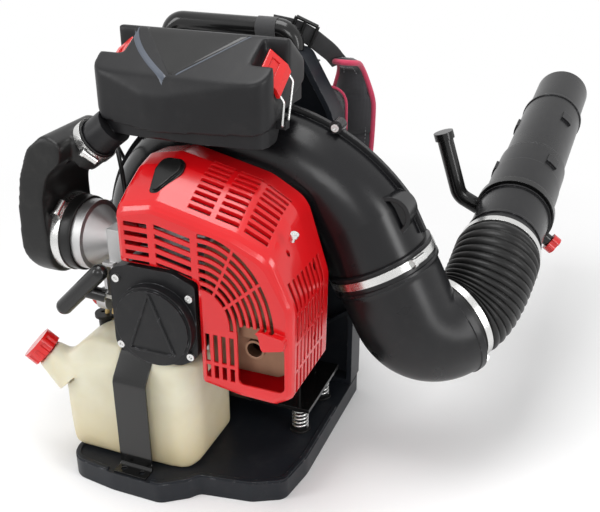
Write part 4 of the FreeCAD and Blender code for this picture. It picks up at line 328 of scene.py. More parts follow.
# %% The plastics and rubbers of this machine
pale_rub = (0.16, 0.16, 0.17)
plastics = {
    "red_cover": dict(color=(0.60, 0.004, 0.007), rough=0.20, grain=0.05, grain_size=3.0, edge=1.2,
                      worn=(0.74, 0.08, 0.08), wear=0.15, shade=0.05, coat=0.3, shine=0.4),
    "black_shell": dict(color=(0.008, 0.008, 0.009), rough=0.40, grain=0.5, grain_size=0.9, edge=1.2,
                        worn=pale_rub, wear=0.25, dust=0.012, shine=0.26),
    "scroll_gloss": dict(color=(0.006, 0.006, 0.007), rough=0.24, grain=0.10, grain_size=2.2, edge=1.2,
                         worn=pale_rub, wear=0.2, shine=0.33),
    "frame_plastic": dict(color=(0.010, 0.012, 0.016), rough=0.40, grain=0.4, grain_size=1.1, edge=1.4,
                          worn=pale_rub, wear=0.3, dust=0.02, shine=0.27),
    "black_gloss": dict(color=(0.006, 0.006, 0.006), rough=0.20, grain=0.08, grain_size=2.0, edge=1.0,
                        worn=pale_rub, wear=0.2, coat=0.15, shine=0.33),
    "tube_plastic": dict(color=(0.009, 0.009, 0.010), rough=0.28, grain=0.2, grain_size=1.6, edge=1.0,
                         worn=pale_rub, wear=0.25, dust=0.01, shine=0.30),
    "duct_rubber": dict(color=(0.010, 0.010, 0.010), rough=0.36, grain=0.3, grain_size=1.2, edge=1.0,
                        worn=(0.10, 0.10, 0.10), wear=0.25, dust=0.02, shine=0.27),
    "red_plastic": dict(color=(0.62, 0.010, 0.010), rough=0.26, grain=0.12, grain_size=1.5, edge=0.7,
                        worn=(0.75, 0.16, 0.13), wear=0.25, coat=0.25),
    "bulb_rubber": dict(color=(0.42, 0.02, 0.015), rough=0.25, grain=0.1, grain_size=2.0, edge=0.6),
    "buckle_plastic": dict(color=(0.008, 0.008, 0.008), rough=0.28, grain=0.2, edge=0.6, worn=pale_rub,
                           wear=0.25, shine=0.4),
    "cable_sheath": dict(color=(0.008, 0.008, 0.008), rough=0.40, grain=0.3, grain_size=0.7, edge=0.3,
                         shine=0.35),
    "coil_resin": dict(color=(0.012, 0.012, 0.012), rough=0.5, grain=0.3, edge=0.6),
    "line_plastic": dict(color=(0.62, 0.46, 0.20), rough=0.30, grain=0.1, grain_size=1.0, edge=0.3),
    "heated_steel": dict(color=(0.22, 0.12, 0.075), rough=0.40, grain=0.3, grain_size=2.5, edge=0.8,
                         worn=(0.42, 0.28, 0.20), wear=0.6, shade=0.45, metallic=0.8),
    "black_steel": dict(color=(0.006, 0.006, 0.006), rough=0.16, grain=0.06, grain_size=2.5, edge=0.9,
                        worn=(0.25, 0.24, 0.24), wear=0.2, coat=0.25, shine=0.36),
    "cast_alloy": dict(color=(0.50, 0.50, 0.50), rough=0.48, grain=0.8, grain_size=0.8, edge=0.8, shade=0.15,
                       metallic=1.0),
    "stripe_plastic": dict(color=(0.055, 0.066, 0.088), rough=0.34, grain=0.2, grain_size=1.0, edge=0.5),
}
finish = {name: moulded(name, **numbers) for name, numbers in plastics.items()}
print(len(finish), "moulded finishes")

# %% [markdown]
# ## Metals and the milky tank
# Zinc-plated steel is bright but drawn or rolled, so its roughness runs in fine streaks. The fuel
# tank is blown from unpigmented plastic: light enters it and comes out again, and its colour goes
# a little darker and yellower towards the bottom.

# %% Bright steel
streaks_per_metre = 1400.0
streak_height = 0.08 * MM
plated_edge = 0.4 * MM


def bright_steel(name, color, rough, streak):
    """Metal whose roughness follows noise stretched along X."""
    material, tree, shader = new_tree(name)
    mapping = tree.nodes.new("ShaderNodeMapping")
    mapping.inputs["Scale"].default_value = (streak, 1.0, 1.0)
    tree.links.new(object_place(tree), mapping.inputs["Vector"])
    lines = noise(tree, mapping.outputs["Vector"], streaks_per_metre, 2.0)
    shader.inputs["Base Color"].default_value = rgba(color)
    shader.inputs["Metallic"].default_value = 1.0
    tree.links.new(ranged(tree, lines, 0.3, 0.7, rough - 0.06, rough + 0.10), shader.inputs["Roughness"])
    bumped(tree, shader, lines, 0.12, streak_height, edge_normal(tree, plated_edge))
    return material


finish["bright_steel"] = bright_steel("bright_steel", (0.66, 0.66, 0.65), 0.24, 0.2)
finish["plug_steel"] = bright_steel("plug_steel", (0.72, 0.71, 0.69), 0.30, 0.5)
print("two steels")

# %% Milky tank plastic
straw = (0.58, 0.48, 0.29)
dark_cream = (0.64, 0.58, 0.42)
light_cream = (0.72, 0.67, 0.52)
cream_share = 0.6
light_depth = 12.0 * MM
tank_low_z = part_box("fuel_tank")[0].z
tank_high_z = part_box("fuel_tank")[1].z


def milky_plastic():
    """Translucent skin whose colour goes from straw at the bottom to cream at the top."""
    material, tree, shader = new_tree("tank_plastic")
    place = object_place(tree)
    split = tree.nodes.new("ShaderNodeSeparateXYZ")
    tree.links.new(place, split.inputs["Vector"])
    cream_from = tank_low_z + cream_share * (tank_high_z - tank_low_z)
    height = ranged(tree, split.outputs["Z"], tank_low_z, cream_from, 0.0, 1.0)
    cloud = noise(tree, place, 22.0, 3.0)
    cream = mixed(tree, ranged(tree, cloud, 0.3, 0.7, 0.0, 1.0), dark_cream, light_cream)
    tree.links.new(mixed(tree, height, straw, cream), shader.inputs["Base Color"])
    shader.inputs["Roughness"].default_value = 0.38
    shader.inputs["Subsurface Weight"].default_value = 0.45
    shader.inputs["Subsurface Radius"].default_value = (1.0, 0.75, 0.45)
    shader.inputs["Subsurface Scale"].default_value = light_depth
    bumped(tree, shader, noise(tree, place, 700.0, 2.0), 0.15, 0.1 * MM)
    return material


finish["tank_plastic"] = milky_plastic()
print("tank plastic from", round(tank_low_z / MM), "to", round(tank_high_z / MM), "mm")

# %% [markdown]
# ## Cloth
# The pads are covered with a dark woven nylon and the webbing is ribbed across its width. Both
# weaves are sums of two sets of waves, one for each direction of thread, at the real pitch.

# %% Woven cloth
thread_height = 0.4 * MM
fuzz_share = 0.5


def waves(tree, place, direction, pitch):
    """Bands along one axis; the texture has one band every 2 pi / 20 of its scaled unit."""
    node = put(tree, "ShaderNodeTexWave", wave_type_="BANDS", bands_direction_=direction,
               Scale=2.0 * math.pi / (20.0 * pitch))
    tree.links.new(place, node.inputs["Vector"])
    return node.outputs["Fac"]


def woven(name, color, lighter, thread, sheen=0.25):
    """Two crossing sets of threads; the colour is painted lighter on the taller thread and darker in the
    gaps, as painted highlight and painted shade.
    """
    material, tree, shader = new_tree(name)
    place = object_place(tree)
    warp = waves(tree, place, "X", thread)
    weft = waves(tree, place, "Z", thread)
    height = sums(tree, "MAXIMUM", warp, weft)
    fuzz = noise(tree, place, 900.0, 3.0)
    height = sums(tree, "ADD", height, sums(tree, "MULTIPLY", fuzz, fuzz_share))
    cloud = ranged(tree, noise(tree, place, 25.0, 3.0), 0.3, 0.7, 0.0, 0.35)
    # Painted shade and highlight: darker where the threads are low, lighter on their tops.
    body = mixed(tree, ranged(tree, height, 0.5, 1.5, 0.0, 1.0), color, lighter)
    tree.links.new(mixed(tree, cloud, body, lighter), shader.inputs["Base Color"])
    shader.inputs["Roughness"].default_value = 0.85
    shader.inputs["Sheen Weight"].default_value = sheen
    bumped(tree, shader, height, 0.6, thread_height)
    return material


finish["pad_fabric"] = woven("pad_fabric", (0.012, 0.012, 0.014), (0.045, 0.045, 0.05), 1.6 * MM)
finish["webbing"] = woven("webbing", (0.010, 0.010, 0.011), (0.05, 0.05, 0.052), 1.1 * MM)
finish["rope"] = woven("rope", (0.55, 0.53, 0.48), (0.78, 0.76, 0.70), 0.8 * MM)
finish["filter_foam"] = woven("filter_foam", (0.62, 0.56, 0.40), (0.80, 0.75, 0.60), 1.5 * MM)
finish["piping"] = woven("piping", (0.42, 0.015, 0.06), (0.66, 0.06, 0.13), 1.0 * MM)
finish["thread"] = woven("thread", (0.20, 0.20, 0.21), (0.34, 0.34, 0.35), 0.6 * MM)
print(len(finish), "finishes in all")

# %% [markdown]
# ## Dressing the frame's own solids
# Each solid names the finish that its real part has. That name is its material slot in the record,
# so one loop dresses them all.

# %% Finishes onto the solids
slot_of = {s["node"]: s["material_slot"] for s in frame["record"]["subparts"]}
glossy_shells = ("fan_case_front", "fan_case_back")


def dress(piece, material):
    """One material all over a piece."""
    piece.data.materials.clear()
    piece.data.materials.append(material)


for node_name, solid in nodes.items():
    dress(solid, finish["scroll_gloss" if node_name in glossy_shells else slot_of[node_name]])
    solid.data.shade_smooth()
    solid.data.set_sharp_from_angle(angle=math.radians(32))
print("dressed", len(nodes), "solids")

# %% [markdown]
# ## Helpers for new surfaces
# A new piece is a grid of points worked out as whole arrays: one direction runs along it and the
# other round it. The faces follow from the grid's size alone. A blown or padded piece starts as a
# copy of the frame's solid instead, remeshed to small even faces.

# %% Directions and lengths


def unit(vectors):
    """Vectors of length 1 in the same directions."""
    vectors = np.asarray(vectors, float)
    return vectors / np.linalg.norm(vectors, axis=-1, keepdims=True)


def directions(path):
    """The unit direction of a path at each of its points."""
    return unit(np.gradient(path, axis=0))


def lengths_along(path):
    """How far each point of a path is from its start, measured along it."""
    return np.concatenate([[0.0], np.cumsum(np.linalg.norm(np.diff(path, axis=0), axis=1))])


def evenly(line, step):
    """The same line with points a step apart."""
    length = lengths_along(line)
    places = np.linspace(0.0, length[-1], max(int(round(length[-1] / step)), 2) + 1)
    return np.stack([np.interp(places, length, line[:, k]) for k in range(3)], -1)


def round_angles(sides):
    """The angles of the corners of a round section."""
    return np.linspace(0.0, 2.0 * math.pi, sides, endpoint=False)


# %% Grids and pieces


def piece_from(name, points, faces, material, body, sharp=35.0):
    """A mesh object at the origin, with its place in its points, riding on a body if one is named."""
    mesh = bpy.data.meshes.new(name)
    corners = np.asarray(points, float).reshape(-1, 3).tolist()
    mesh.from_pydata(corners, [], [list(map(int, f)) for f in faces])
    mesh.validate()
    mesh.shade_smooth()
    mesh.set_sharp_from_angle(angle=math.radians(sharp))
    mesh.materials.append(material)
    piece = bpy.data.objects.new(name, mesh)
    bpy.context.scene.collection.objects.link(piece)
    if body is not None:
        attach(piece, body)
    return piece


def grid_faces(rows, columns, first=0, turn=True):
    """Four-sided faces between neighbouring rows; turn joins the last column to the first."""
    r = np.arange(rows - 1)[:, None]
    c = np.arange(columns if turn else columns - 1)[None, :]
    a = first + r * columns + c
    b = first + r * columns + (c + 1) % columns
    return np.stack([a, b, b + columns, a + columns], -1).reshape(-1, 4)


def circles(path, side, third, radius, sides):
    """Circles round a path: point = path + radius (cos a side + sin a third)."""
    a = round_angles(sides)[None, :, None]
    return path[:, None, :] + radius * (np.cos(a) * side[:, None, :] + np.sin(a) * third[:, None, :])


def closed_rows(name, rows, material, body, sharp=35.0):
    """Rows of points as a skin, shut at both ends with a fan of triangles to the row's middle."""
    count, columns = rows.shape[:2]
    points = np.vstack([rows.reshape(-1, 3), rows[0].mean(0), rows[-1].mean(0)])
    faces = grid_faces(count, columns).tolist()
    k = np.arange(columns)
    after = (k + 1) % columns
    last = (count - 1) * columns
    faces += np.stack([after, k, np.full(columns, count * columns)], -1).tolist()
    faces += np.stack([last + k, last + after, np.full(columns, count * columns + 1)], -1).tolist()
    return piece_from(name, points, faces, material, body, sharp)


def tube_piece(name, path, radius, sides, material, body, reference=(0, 0, 1), sharp=35.0):
    """A round tube along a path; the reference is any direction that the path never takes."""
    path = np.asarray(path, float)
    along = directions(path)
    side = unit(np.cross(along, np.asarray(reference, float)))
    radius = np.broadcast_to(np.asarray(radius, float), (len(path),))[:, None, None]
    rows = circles(path, side, np.cross(along, side), radius, sides)
    return closed_rows(name, rows, material, body, sharp)


def rounded_line(corners, radii, step):
    """A line through corners, each inner corner replaced by the parabola that starts its radius away."""
    corners = [np.asarray(c, float) for c in corners]
    out = [corners[0]]
    for before, corner, after, radius in zip(corners, corners[1:], corners[2:], radii):
        a = corner - unit(corner - before) * radius
        b = corner + unit(after - corner) * radius
        t = np.linspace(0.0, 1.0, 9)[:, None]
        out += list((1 - t) ** 2 * a + 2 * t * (1 - t) * corner + t**2 * b)
    out.append(corners[-1])
    return evenly(np.array(out), step)


def swept(name, path, section, side, material, body, sharp=35.0):
    """A section of (u, w) points carried along a path: point = path + u side + w normal."""
    side = np.broadcast_to(np.asarray(side, float), path.shape)
    normal = unit(np.cross(directions(path), side))
    section = np.broadcast_to(section, (len(path),) + np.shape(section)[-2:])
    rows = path[:, None, :] + section[:, :, :1] * side[:, None, :] + section[:, :, 1:] * normal[:, None, :]
    return closed_rows(name, rows, material, body, sharp)


def hermite(start, pull_start, end, pull_end, count):
    """The cubic that leaves start along pull_start and reaches end along pull_end."""
    t = np.linspace(0.0, 1.0, count)[:, None]
    start, pull_start, end, pull_end = (np.asarray(v, float) for v in (start, pull_start, end, pull_end))
    return ((2 * t**3 - 3 * t**2 + 1) * start + (t**3 - 2 * t**2 + t) * pull_start
            + (3 * t**2 - 2 * t**3) * end + (t**3 - t**2) * pull_end)


# %% Copies of the frame's solids


def baked_mesh(piece):
    """The mesh that a piece has with its modifiers done."""
    bpy.context.view_layer.update()
    return bpy.data.meshes.new_from_object(piece.evaluated_get(bpy.context.evaluated_depsgraph_get()))


def remeshed_copy(name, node_name, voxel):
    """A copy of a solid as a new piece, with a voxel remesh waiting on it."""
    piece = bpy.data.objects.new(name, nodes[node_name].data.copy())
    bpy.context.scene.collection.objects.link(piece)
    remesh = piece.modifiers.new("remesh", "REMESH")
    remesh.mode = "VOXEL"
    remesh.voxel_size = voxel
    return piece


def stands_for(piece, body, node_name):
    """The piece rides on the body and hides the node."""
    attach(piece, body)
    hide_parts(node_name)


# %% [markdown]
# ## Cables and fuel lines
# A control cable is a smooth line, so it is a NURBS curve whose control points are the route. The
# throttle cable leaves the hip bracket, climbs behind the fan case and comes down to the
# carburetor. The two fuel lines rise from the grommet in the tank.

# %% Cords
line_diameter = 5.2 * MM
cable_route = [(-139, 108, 168), (-144, 106, 214), (-156, 100, 258), (-168, 92, 300), (-176, 76, 340),
               (-160, 42, 372), (-132, 6, 378), (-106, -22, 354), (-92, -40, 320)]
supply_route = [(-123.6, -64, 59), (-123.6, -64, 205), (-84, -68, 234), (-84, -68, 256)]
return_route = [(-116.4, -64, 59), (-116.4, -64, 205), (-72, -54, 234), (-72, -54, 256)]


def curve_length(curve):
    """The length of the smooth line itself, read before the curve gets its thickness."""
    line = bpy.data.meshes.new_from_object(curve)
    points = np.array([v.co for v in line.vertices])
    bpy.data.meshes.remove(line)
    return float(np.linalg.norm(np.diff(points, axis=0), axis=1).sum())


def cord_piece(name, route, diameter, material, body):
    """A NURBS curve through the route's control points, in metres."""
    data = bpy.data.curves.new(name, "CURVE")
    data.dimensions = "3D"
    data.resolution_u = 10
    spline = data.splines.new("NURBS")
    spline.points.add(len(route) - 1)
    flat = np.ones((len(route), 4))
    flat[:, :3] = np.asarray(route, float) * MM
    spline.points.foreach_set("co", flat.ravel())
    spline.order_u = 3
    spline.use_endpoint_u = True
    piece = bpy.data.objects.new(name, data)
    bpy.context.scene.collection.objects.link(piece)
    bpy.context.view_layer.update()
    length = curve_length(piece)
    data.bevel_depth = diameter / 2
    data.bevel_resolution = 4
    data.use_fill_caps = True
    data.materials.append(material)
    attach(piece, body)
    print(name, round(length * 1000), "mm long")
    return piece


for cord_name, route, finish_name, stiffness, node_name in (
        ("throttle_cable_sheath", cable_route, "cable_sheath", "stiff", "throttle_cable"),
        ("fuel_supply_line", supply_route, "line_plastic", "medium", "fuel_lines"),
        ("fuel_return_line", return_route, "line_plastic", "medium", "fuel_lines")):
    cord = cord_piece(cord_name, route, line_diameter, finish[finish_name], "frame")
    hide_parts(node_name)

# %% [markdown]
# ## Starter rope
# The rope is braided, so its radius swells and shrinks a little with each crossing. It runs from the
# housing into the grip.

# %% Rope
rope_exit = np.array([-60.0, -118.0, 238.0])
pull_axis = np.array([-0.911, -0.318, 0.265])
grip_center = np.array([-99.153, -131.658, 249.382])
hidden_in_housing = 22.0
hidden_in_grip = -10.0
rope_radius = 1.95
braid_height = 0.12
rope_ends = np.array([rope_exit - pull_axis * hidden_in_housing, grip_center + pull_axis * hidden_in_grip])
rope_path = evenly(rope_ends, 0.5)
rope_swell = rope_radius + braid_height * np.cos(np.arange(len(rope_path)) * math.pi / 2.0)
rope = tube_piece("starter_rope_braid", rope_path * MM, rope_swell * MM, 14, finish["rope"], None, sharp=80.0)
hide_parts("starter_rope")
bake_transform(rope)
print("rope drawn over", round(float(lengths_along(rope_path)[-1])), "mm")

# %% [markdown]
# ## The ribbed hose
# The hose between the elbow and the pipes is rubber with round ribs, so that it bends both ways.
# It is a surface of revolution round a curved line. It leaves the elbow along the elbow's last
# stretch and meets the pipe along the pipe. Its radius is the hose's radius less a short dip
# between ribs.

# %% Ribbed hose
elbow_exit = unit((0.5793, 0.7580, 0.2994))
cuff_start = np.array([272.206, 81.964, 171.930])
tube_start = np.array([303.0, 166.0, 228.0])
tube_axis = unit((0.0331, 0.9788, 0.2019))
cuff_length = 15.0
elbow_cuff_radius = 51.3
pipe_cuff_radius = 49.8
hose_radius = 53.0
rib_depth = 3.4
rib_count = 13
hose_pull = 88.0
points_per_rib = 10
on_elbow_cuff, on_pipe_cuff = -1.0, -2.0


def hose_line():
    """Straight cuff, curve, straight cuff: the line, and for each point how many ribs have passed."""
    start = cuff_start + elbow_exit * (cuff_length + 0.5)
    count = rib_count * points_per_rib + 1
    middle = hermite(start, elbow_exit * hose_pull, tube_start, tube_axis * hose_pull, count)
    low = cuff_start + elbow_exit * np.linspace(0.0, cuff_length, 7)[:, None]
    high = tube_start + tube_axis * np.linspace(0.6, cuff_length + 1.0, 7)[:, None]
    ribs = np.concatenate([np.full(7, on_elbow_cuff), np.linspace(0, rib_count, count),
                           np.full(7, on_pipe_cuff)])
    return np.vstack([low, middle, high]), ribs


def hose_radii(ribs):
    """Cuffs are plain. Between them radius = hose radius - depth (1 - |sin(pi n)|) to a soft power."""
    radii = hose_radius - rib_depth * (1.0 - np.abs(np.sin(math.pi * ribs)) ** 0.55)
    radii = np.where(ribs == on_elbow_cuff, elbow_cuff_radius, radii)
    return np.where(ribs == on_pipe_cuff, pipe_cuff_radius, radii)


hose_path, hose_ribs = hose_line()
hose = tube_piece("ribbed_hose", hose_path * MM, hose_radii(hose_ribs) * MM, 96, finish["duct_rubber"],
                  None, sharp=60.0)
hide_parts("flexible_tube")
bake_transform(hose)
print("hose with", rib_count, "ribs and", len(hose.data.vertices), "points")

# %% [markdown]
# ## The elbow
# The elbow is one bent pipe. Its line is straight, then an arc of 47 mm that turns it towards the
# wearer's side. The pipe is wider than the arc is tight, so on the inner side the wall would fold
# through itself: there each point is held back at the bend's own axis, which gives the crease that
# such an elbow has.

# %% Elbow shell
outlet_start = np.array([162.400, 42.0, 311.804])
outlet_axis = unit((0.4540, 0.0, -0.8910))
elbow_bend_at = 127.0
elbow_bend_radius = 47.5
elbow_radius = 61.0
# Pairs of a place along the line and the radius there: the mouth's rolled rim, and the lip at its end.
elbow_mouth = ((51.0, 61.4), (51.6, 63.4), (54.0, 63.4), (54.6, 62.6), (71.0, 62.6), (71.6, 64.2),
               (75.0, 64.2), (75.8, 62.2), (78.5, 61.0))
elbow_lip = ((-8.0, 61.0), (-7.2, 62.4), (0.4, 62.4), (0.8, 60.4), (4.4, 53.0))
inner_gap = 1.5
mouth_allowed, run_allowed, lip_allowed = 70.0, 60.0, 53.0


def elbow_rows(sides):
    """Circles round the line; towards the bend's axis each stops inner_gap short of that axis."""
    turn = math.acos(float(outlet_axis @ elbow_exit))
    side = unit(elbow_exit - outlet_axis * float(outlet_axis @ elbow_exit))
    hinge = np.cross(side, outlet_axis)
    centre = outlet_start + outlet_axis * elbow_bend_at + side * elbow_bend_radius

    def away(angle):
        """From the bend's axis to the line, after that much of the turn."""
        return math.sin(angle) * outlet_axis - math.cos(angle) * side

    run = tuple((at, elbow_radius) for at in np.linspace(83, elbow_bend_at - 2, 9))
    straight = np.array(elbow_mouth + run)
    lip = np.array(elbow_lip)
    angles = np.linspace(0.0, turn + lip[0, 0] / elbow_bend_radius - 0.03, 26)
    end = centre + elbow_bend_radius * away(turn)
    line = [outlet_start + outlet_axis * at for at in straight[:, 0]]
    line += [centre + elbow_bend_radius * away(a) for a in angles]
    line += [end + elbow_exit * at for at in lip[:, 0]]
    outward = [-side] * len(straight) + [away(a) for a in angles] + [away(turn)] * len(lip)
    radius = np.concatenate([straight[:, 1], np.full(len(angles), elbow_radius), lip[:, 1]])
    bend_allowed = elbow_bend_radius - inner_gap
    marks = [0, len(straight) // 2, len(straight) + 5, len(straight) + 20, len(line) - 1]
    allowed = np.interp(np.arange(len(line)), marks,
                        [mouth_allowed, run_allowed, bend_allowed, bend_allowed, lip_allowed])
    a = round_angles(sides)
    reach = np.maximum(radius[:, None] * np.cos(a)[None, :], -allowed[:, None])
    return (np.array(line)[:, None, :] + reach[:, :, None] * np.array(outward)[:, None, :]
            + (radius[:, None] * np.sin(a)[None, :])[:, :, None] * hinge)


elbow_shell = closed_rows("elbow_shell", elbow_rows(112) * MM, finish["tube_plastic"], "elbow_pipe", 50.0)
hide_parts("elbow")
print("elbow of", len(elbow_shell.data.vertices), "points")

# %% [markdown]
# ## The fuel tank and the intake duct
# Both are hollow shapes blown in a mould, so no edge on them is sharp. The frame's solids for them
# have crossing flat sides. A copy is remeshed to small even faces, and then relaxed: each point
# moves towards the middle of its neighbours many times, which rounds every edge by a few millimetres.

# %% Blown shapes


def blown_copy(name, node_name, voxel, passes, finish_name):
    """A smooth copy of a solid: remeshed, relaxed that many times, and baked into its mesh."""
    piece = remeshed_copy(name, node_name, voxel)
    relax = piece.modifiers.new("relax", "SMOOTH")
    relax.factor = 0.5
    relax.iterations = passes
    baked = baked_mesh(piece)
    piece.modifiers.clear()
    piece.data = baked
    baked.shade_smooth()
    dress(piece, finish[finish_name])
    stands_for(piece, "frame", node_name)
    print(name, len(baked.polygons), "faces")
    return piece


blown_copy("fuel_tank_blown", "fuel_tank", 2.2 * MM, 14, "tank_plastic")
blown_copy("intake_duct_blown", "intake_duct", 2.2 * MM, 10, "duct_rubber")
cover = blown_copy("air_cleaner_cover_blown", "air_cleaner_cover", 1.7 * MM, 26, "black_shell")

# %% [markdown]
# ## The air cleaner's trim
# Let into the sloping top of the cover are a three-cornered gloss panel, left bare, and a curved
# stripe beside it. Both follow the cover: each point of their grids is dropped onto the smoothed
# surface by a ray, and the border goes a little under the skin.

# %% Trim that follows the cover
sunk_border = -0.4


def surface_below(piece):
    """A function that gives the height of a piece's skin straight below a place."""
    vertices = [tuple(v.co) for v in piece.data.vertices]
    tree = BVHTree.FromPolygons(vertices, [tuple(f.vertices) for f in piece.data.polygons])

    def height(x, y):
        """Where a ray that falls from a metre up meets the skin."""
        place, _, _, _ = tree.ray_cast(Vector((x, y, 1.0)), Vector((0.0, 0.0, -1.0)))
        return place.z
    return height


def draped_patch(name, grid, lift, height, material, body):
    """A thin skin over a grid of places in millimetres: lifted inside, sunk along its border."""
    rows, columns = grid.shape[:2]
    raised = np.full((rows, columns), lift)
    raised[[0, -1], :] = sunk_border
    raised[:, [0, -1]] = sunk_border
    z = np.array([[height(x * MM, y * MM) for x, y in row] for row in grid]) / MM + raised
    points = np.concatenate([grid, z[:, :, None]], -1) * MM
    return piece_from(name, points, grid_faces(rows, columns, turn=False), material, body, sharp=50.0)


def triangle_grid(tip, left, right, count):
    """Rows from near the tip to the far side, each the same number of places."""
    t = np.concatenate([[0.02, 0.05], np.linspace(0.1, 0.985, count), [1.0]])[:, None, None]
    u = np.concatenate([[0.0, 0.012], np.linspace(0.05, 0.95, count), [0.988, 1.0]])[None, :, None]
    tip, left, right = (np.asarray(v, float) for v in (tip, left, right))
    return tip + t * (left + u * (right - left) - tip)


def band_grid(corners, width, count):
    """Places across a smooth line through four corners, a cubic in the plane."""
    t = np.linspace(0.0, 1.0, count)[:, None]
    a, b, c, d = (np.asarray(v, float) for v in corners)
    line = (1 - t) ** 3 * a + 3 * t * (1 - t) ** 2 * b + 3 * t**2 * (1 - t) * c + t**3 * d
    along = np.gradient(line, axis=0)
    side = np.stack([-along[:, 1], along[:, 0]], -1) / np.linalg.norm(along, axis=1)[:, None]
    u = np.array([-0.5, -0.42, -0.2, 0.0, 0.2, 0.42, 0.5]) * width
    return line[:, None, :] - u[None, :, None] * side[:, None, :]


cover_height = surface_below(cover)
panel_tip, panel_left, panel_right = (-6.0, -73.0), (-67.0, -9.0), (57.0, -9.0)
stripe_corners = ((-78.0, -9.0), (-71.0, -33.0), (-42.0, -56.0), (-9.0, -77.0))
edge_corners = ((60.0, -8.0), (38.0, -31.0), (18.0, -52.0), (-2.5, -73.5))
for trim_name, grid, lift, finish_name in (
        ("cover_panel", triangle_grid(panel_tip, panel_left, panel_right, 14), 0.55, "black_gloss"),
        ("cover_stripe", band_grid(stripe_corners, 6.5, 26), 0.6, "stripe_plastic"),
        ("cover_panel_edge", band_grid(edge_corners, 1.6, 16), 0.45, "stripe_plastic")):
    draped_patch(trim_name, grid, lift, cover_height, finish[finish_name], "frame")
print("cover trimmed with a panel and two stripes")

# %% [markdown]
# ## Latch wires
# Each red latch pulls on a bent steel wire that hooks under a lug of the case. The wire follows the
# latch when it opens. The left latch is the right one mirrored.

# %% Latch wires
latch_route = [(98, -40, 465), (104, -39, 456), (102.5, -41, 431), (102.5, -25, 431), (104, -15, 472),
               (98, -16, 481)]
wire_radius = 1.45
mirror_sum = -4.0
for side_name in ("right", "left"):
    route = [(mirror_sum - x if side_name == "left" else x, y, z) for x, y, z in latch_route]
    wire_path = rounded_line(route, [2.5, 3.0, 3.0, 2.5], 1.0)
    tube_piece("latch_wire_" + side_name, wire_path * MM, wire_radius * MM, 12, finish["bright_steel"],
               side_name + "_catch", (0.3, 1.0, 0.2), 80.0)
print("two latch wires")

# %% [markdown]
# ## Pads
# The back pads and shoulder pads are foam in a woven cover. Each starts as its solid, remeshed to
# five millimetre faces, and is blown up like a cushion by cloth simulation with gravity off. No
# point may move more than the cap. Sewn channels come after that, as narrow dips.

# %% Padded pieces
pad_cap = 5.0 * MM
cloth_frames = 20
seam_width = 3.2 * MM
seam_depth = 3.0 * MM


def point_array(mesh):
    """A mesh's points as rows of three numbers."""
    points = np.empty(len(mesh.vertices) * 3, np.float32)
    mesh.vertices.foreach_get("co", points)
    return points.reshape(-1, 3).astype(float)


def move_points(mesh, points):
    """The opposite of point_array: the rows go back into the mesh."""
    mesh.vertices.foreach_set("co", points.astype(np.float32).ravel())
    mesh.update()


def swell(piece):
    """Cloth with a little pressure for twenty frames; the result is capped and kept."""
    before = point_array(piece.data)
    cloth = piece.modifiers.new("cloth", "CLOTH")
    cloth.settings.quality = 4
    cloth.settings.mass = 0.3
    cloth.settings.use_pressure = True
    cloth.settings.uniform_pressure_force = 4.0
    cloth.settings.effector_weights.gravity = 0.0
    for frame_number in range(1, cloth_frames + 1):
        bpy.context.scene.frame_set(frame_number)
    move = point_array(baked_mesh(piece)) - before
    piece.modifiers.clear()
    length = np.linalg.norm(move, axis=1)
    move *= np.minimum(1.0, pad_cap / np.maximum(length, 1e-9))[:, None]
    bpy.context.scene.frame_set(1)
    print(piece.name, "swelled by up to", round(min(float(length.max()), pad_cap) / MM, 1), "mm")
    return before + move


def pressed_seams(points, places):
    """A dip towards the pad's middle along upright lines at those places: depth exp(-(d/w)^2)."""
    centre = float(points[:, 1].mean())
    for place in places:
        near = np.exp(-(((points[:, 0] - place) / seam_width) ** 2))
        points[:, 1] += np.sign(centre - points[:, 1]) * seam_depth * near
    return points


def pad_piece(name, node_name, seam_places):
    """A back pad: its solid remeshed, swollen, pressed along its seams and subdivided once."""
    piece = remeshed_copy(name, node_name, 5.0 * MM)
    piece.data = baked_mesh(piece)
    piece.modifiers.clear()
    points = swell(piece)
    move_points(piece.data, pressed_seams(points, seam_places))
    piece.data.shade_smooth()
    dress(piece, finish["pad_fabric"])
    smooth = piece.modifiers.new("subdivision", "SUBSURF")
    smooth.levels = 1
    smooth.render_levels = 1
    stands_for(piece, "frame", node_name)
    print(name, len(piece.data.vertices), "points")


for height_name in ("upper", "lower"):
    pad_piece("back_pad_" + height_name + "_cover", "back_pad_" + height_name, (-0.045, 0.045))

# %% [markdown]
# ## Shoulder pads
# A shoulder pad is a long flat cushion. Its section is a superellipse, |u/a|^n + |w/b|^n = 1. The
# half width a starts narrow over the shoulder, is widest on the chest and narrows again, and at both
# ends it falls to nothing as a half circle does. The half thickness b dips at the sewn channels. A
# thick red piping runs all the way round the edge, with a row of stitches inside it.

# %% The shape of a shoulder pad
shoulder_x = 97.0
pad_half_width = 28.0
pad_top_half_width = 14.5
pad_low_half_width = 20.0
pad_half_thick = 6.4
pad_power = 2.6
pad_end = 17.0
pad_lean = 9.0
channel_places = (0.24, 0.43, 0.62, 0.81)
channel_share = 0.42
to_the_right = np.array([1.0, 0.0, 0.0])


def eased(value, low, high):
    """0 below low and 1 above high, with the smooth step 3t^2 - 2t^3 between."""
    t = np.clip((value - low) / (high - low), 0.0, 1.0)
    return t * t * (3.0 - 2.0 * t)


def pad_line(x):
    """Over the shoulder and down the chest, leaning inwards on the way down."""
    line = rounded_line([(x, 158, 452), (x, 196, 444), (x, 214, 350), (x, 206, 178)], [22.0, 55.0], 3.2)
    line[:, 0] -= math.copysign(pad_lean, x) * eased(line[:, 2], 420.0, 200.0)
    return line


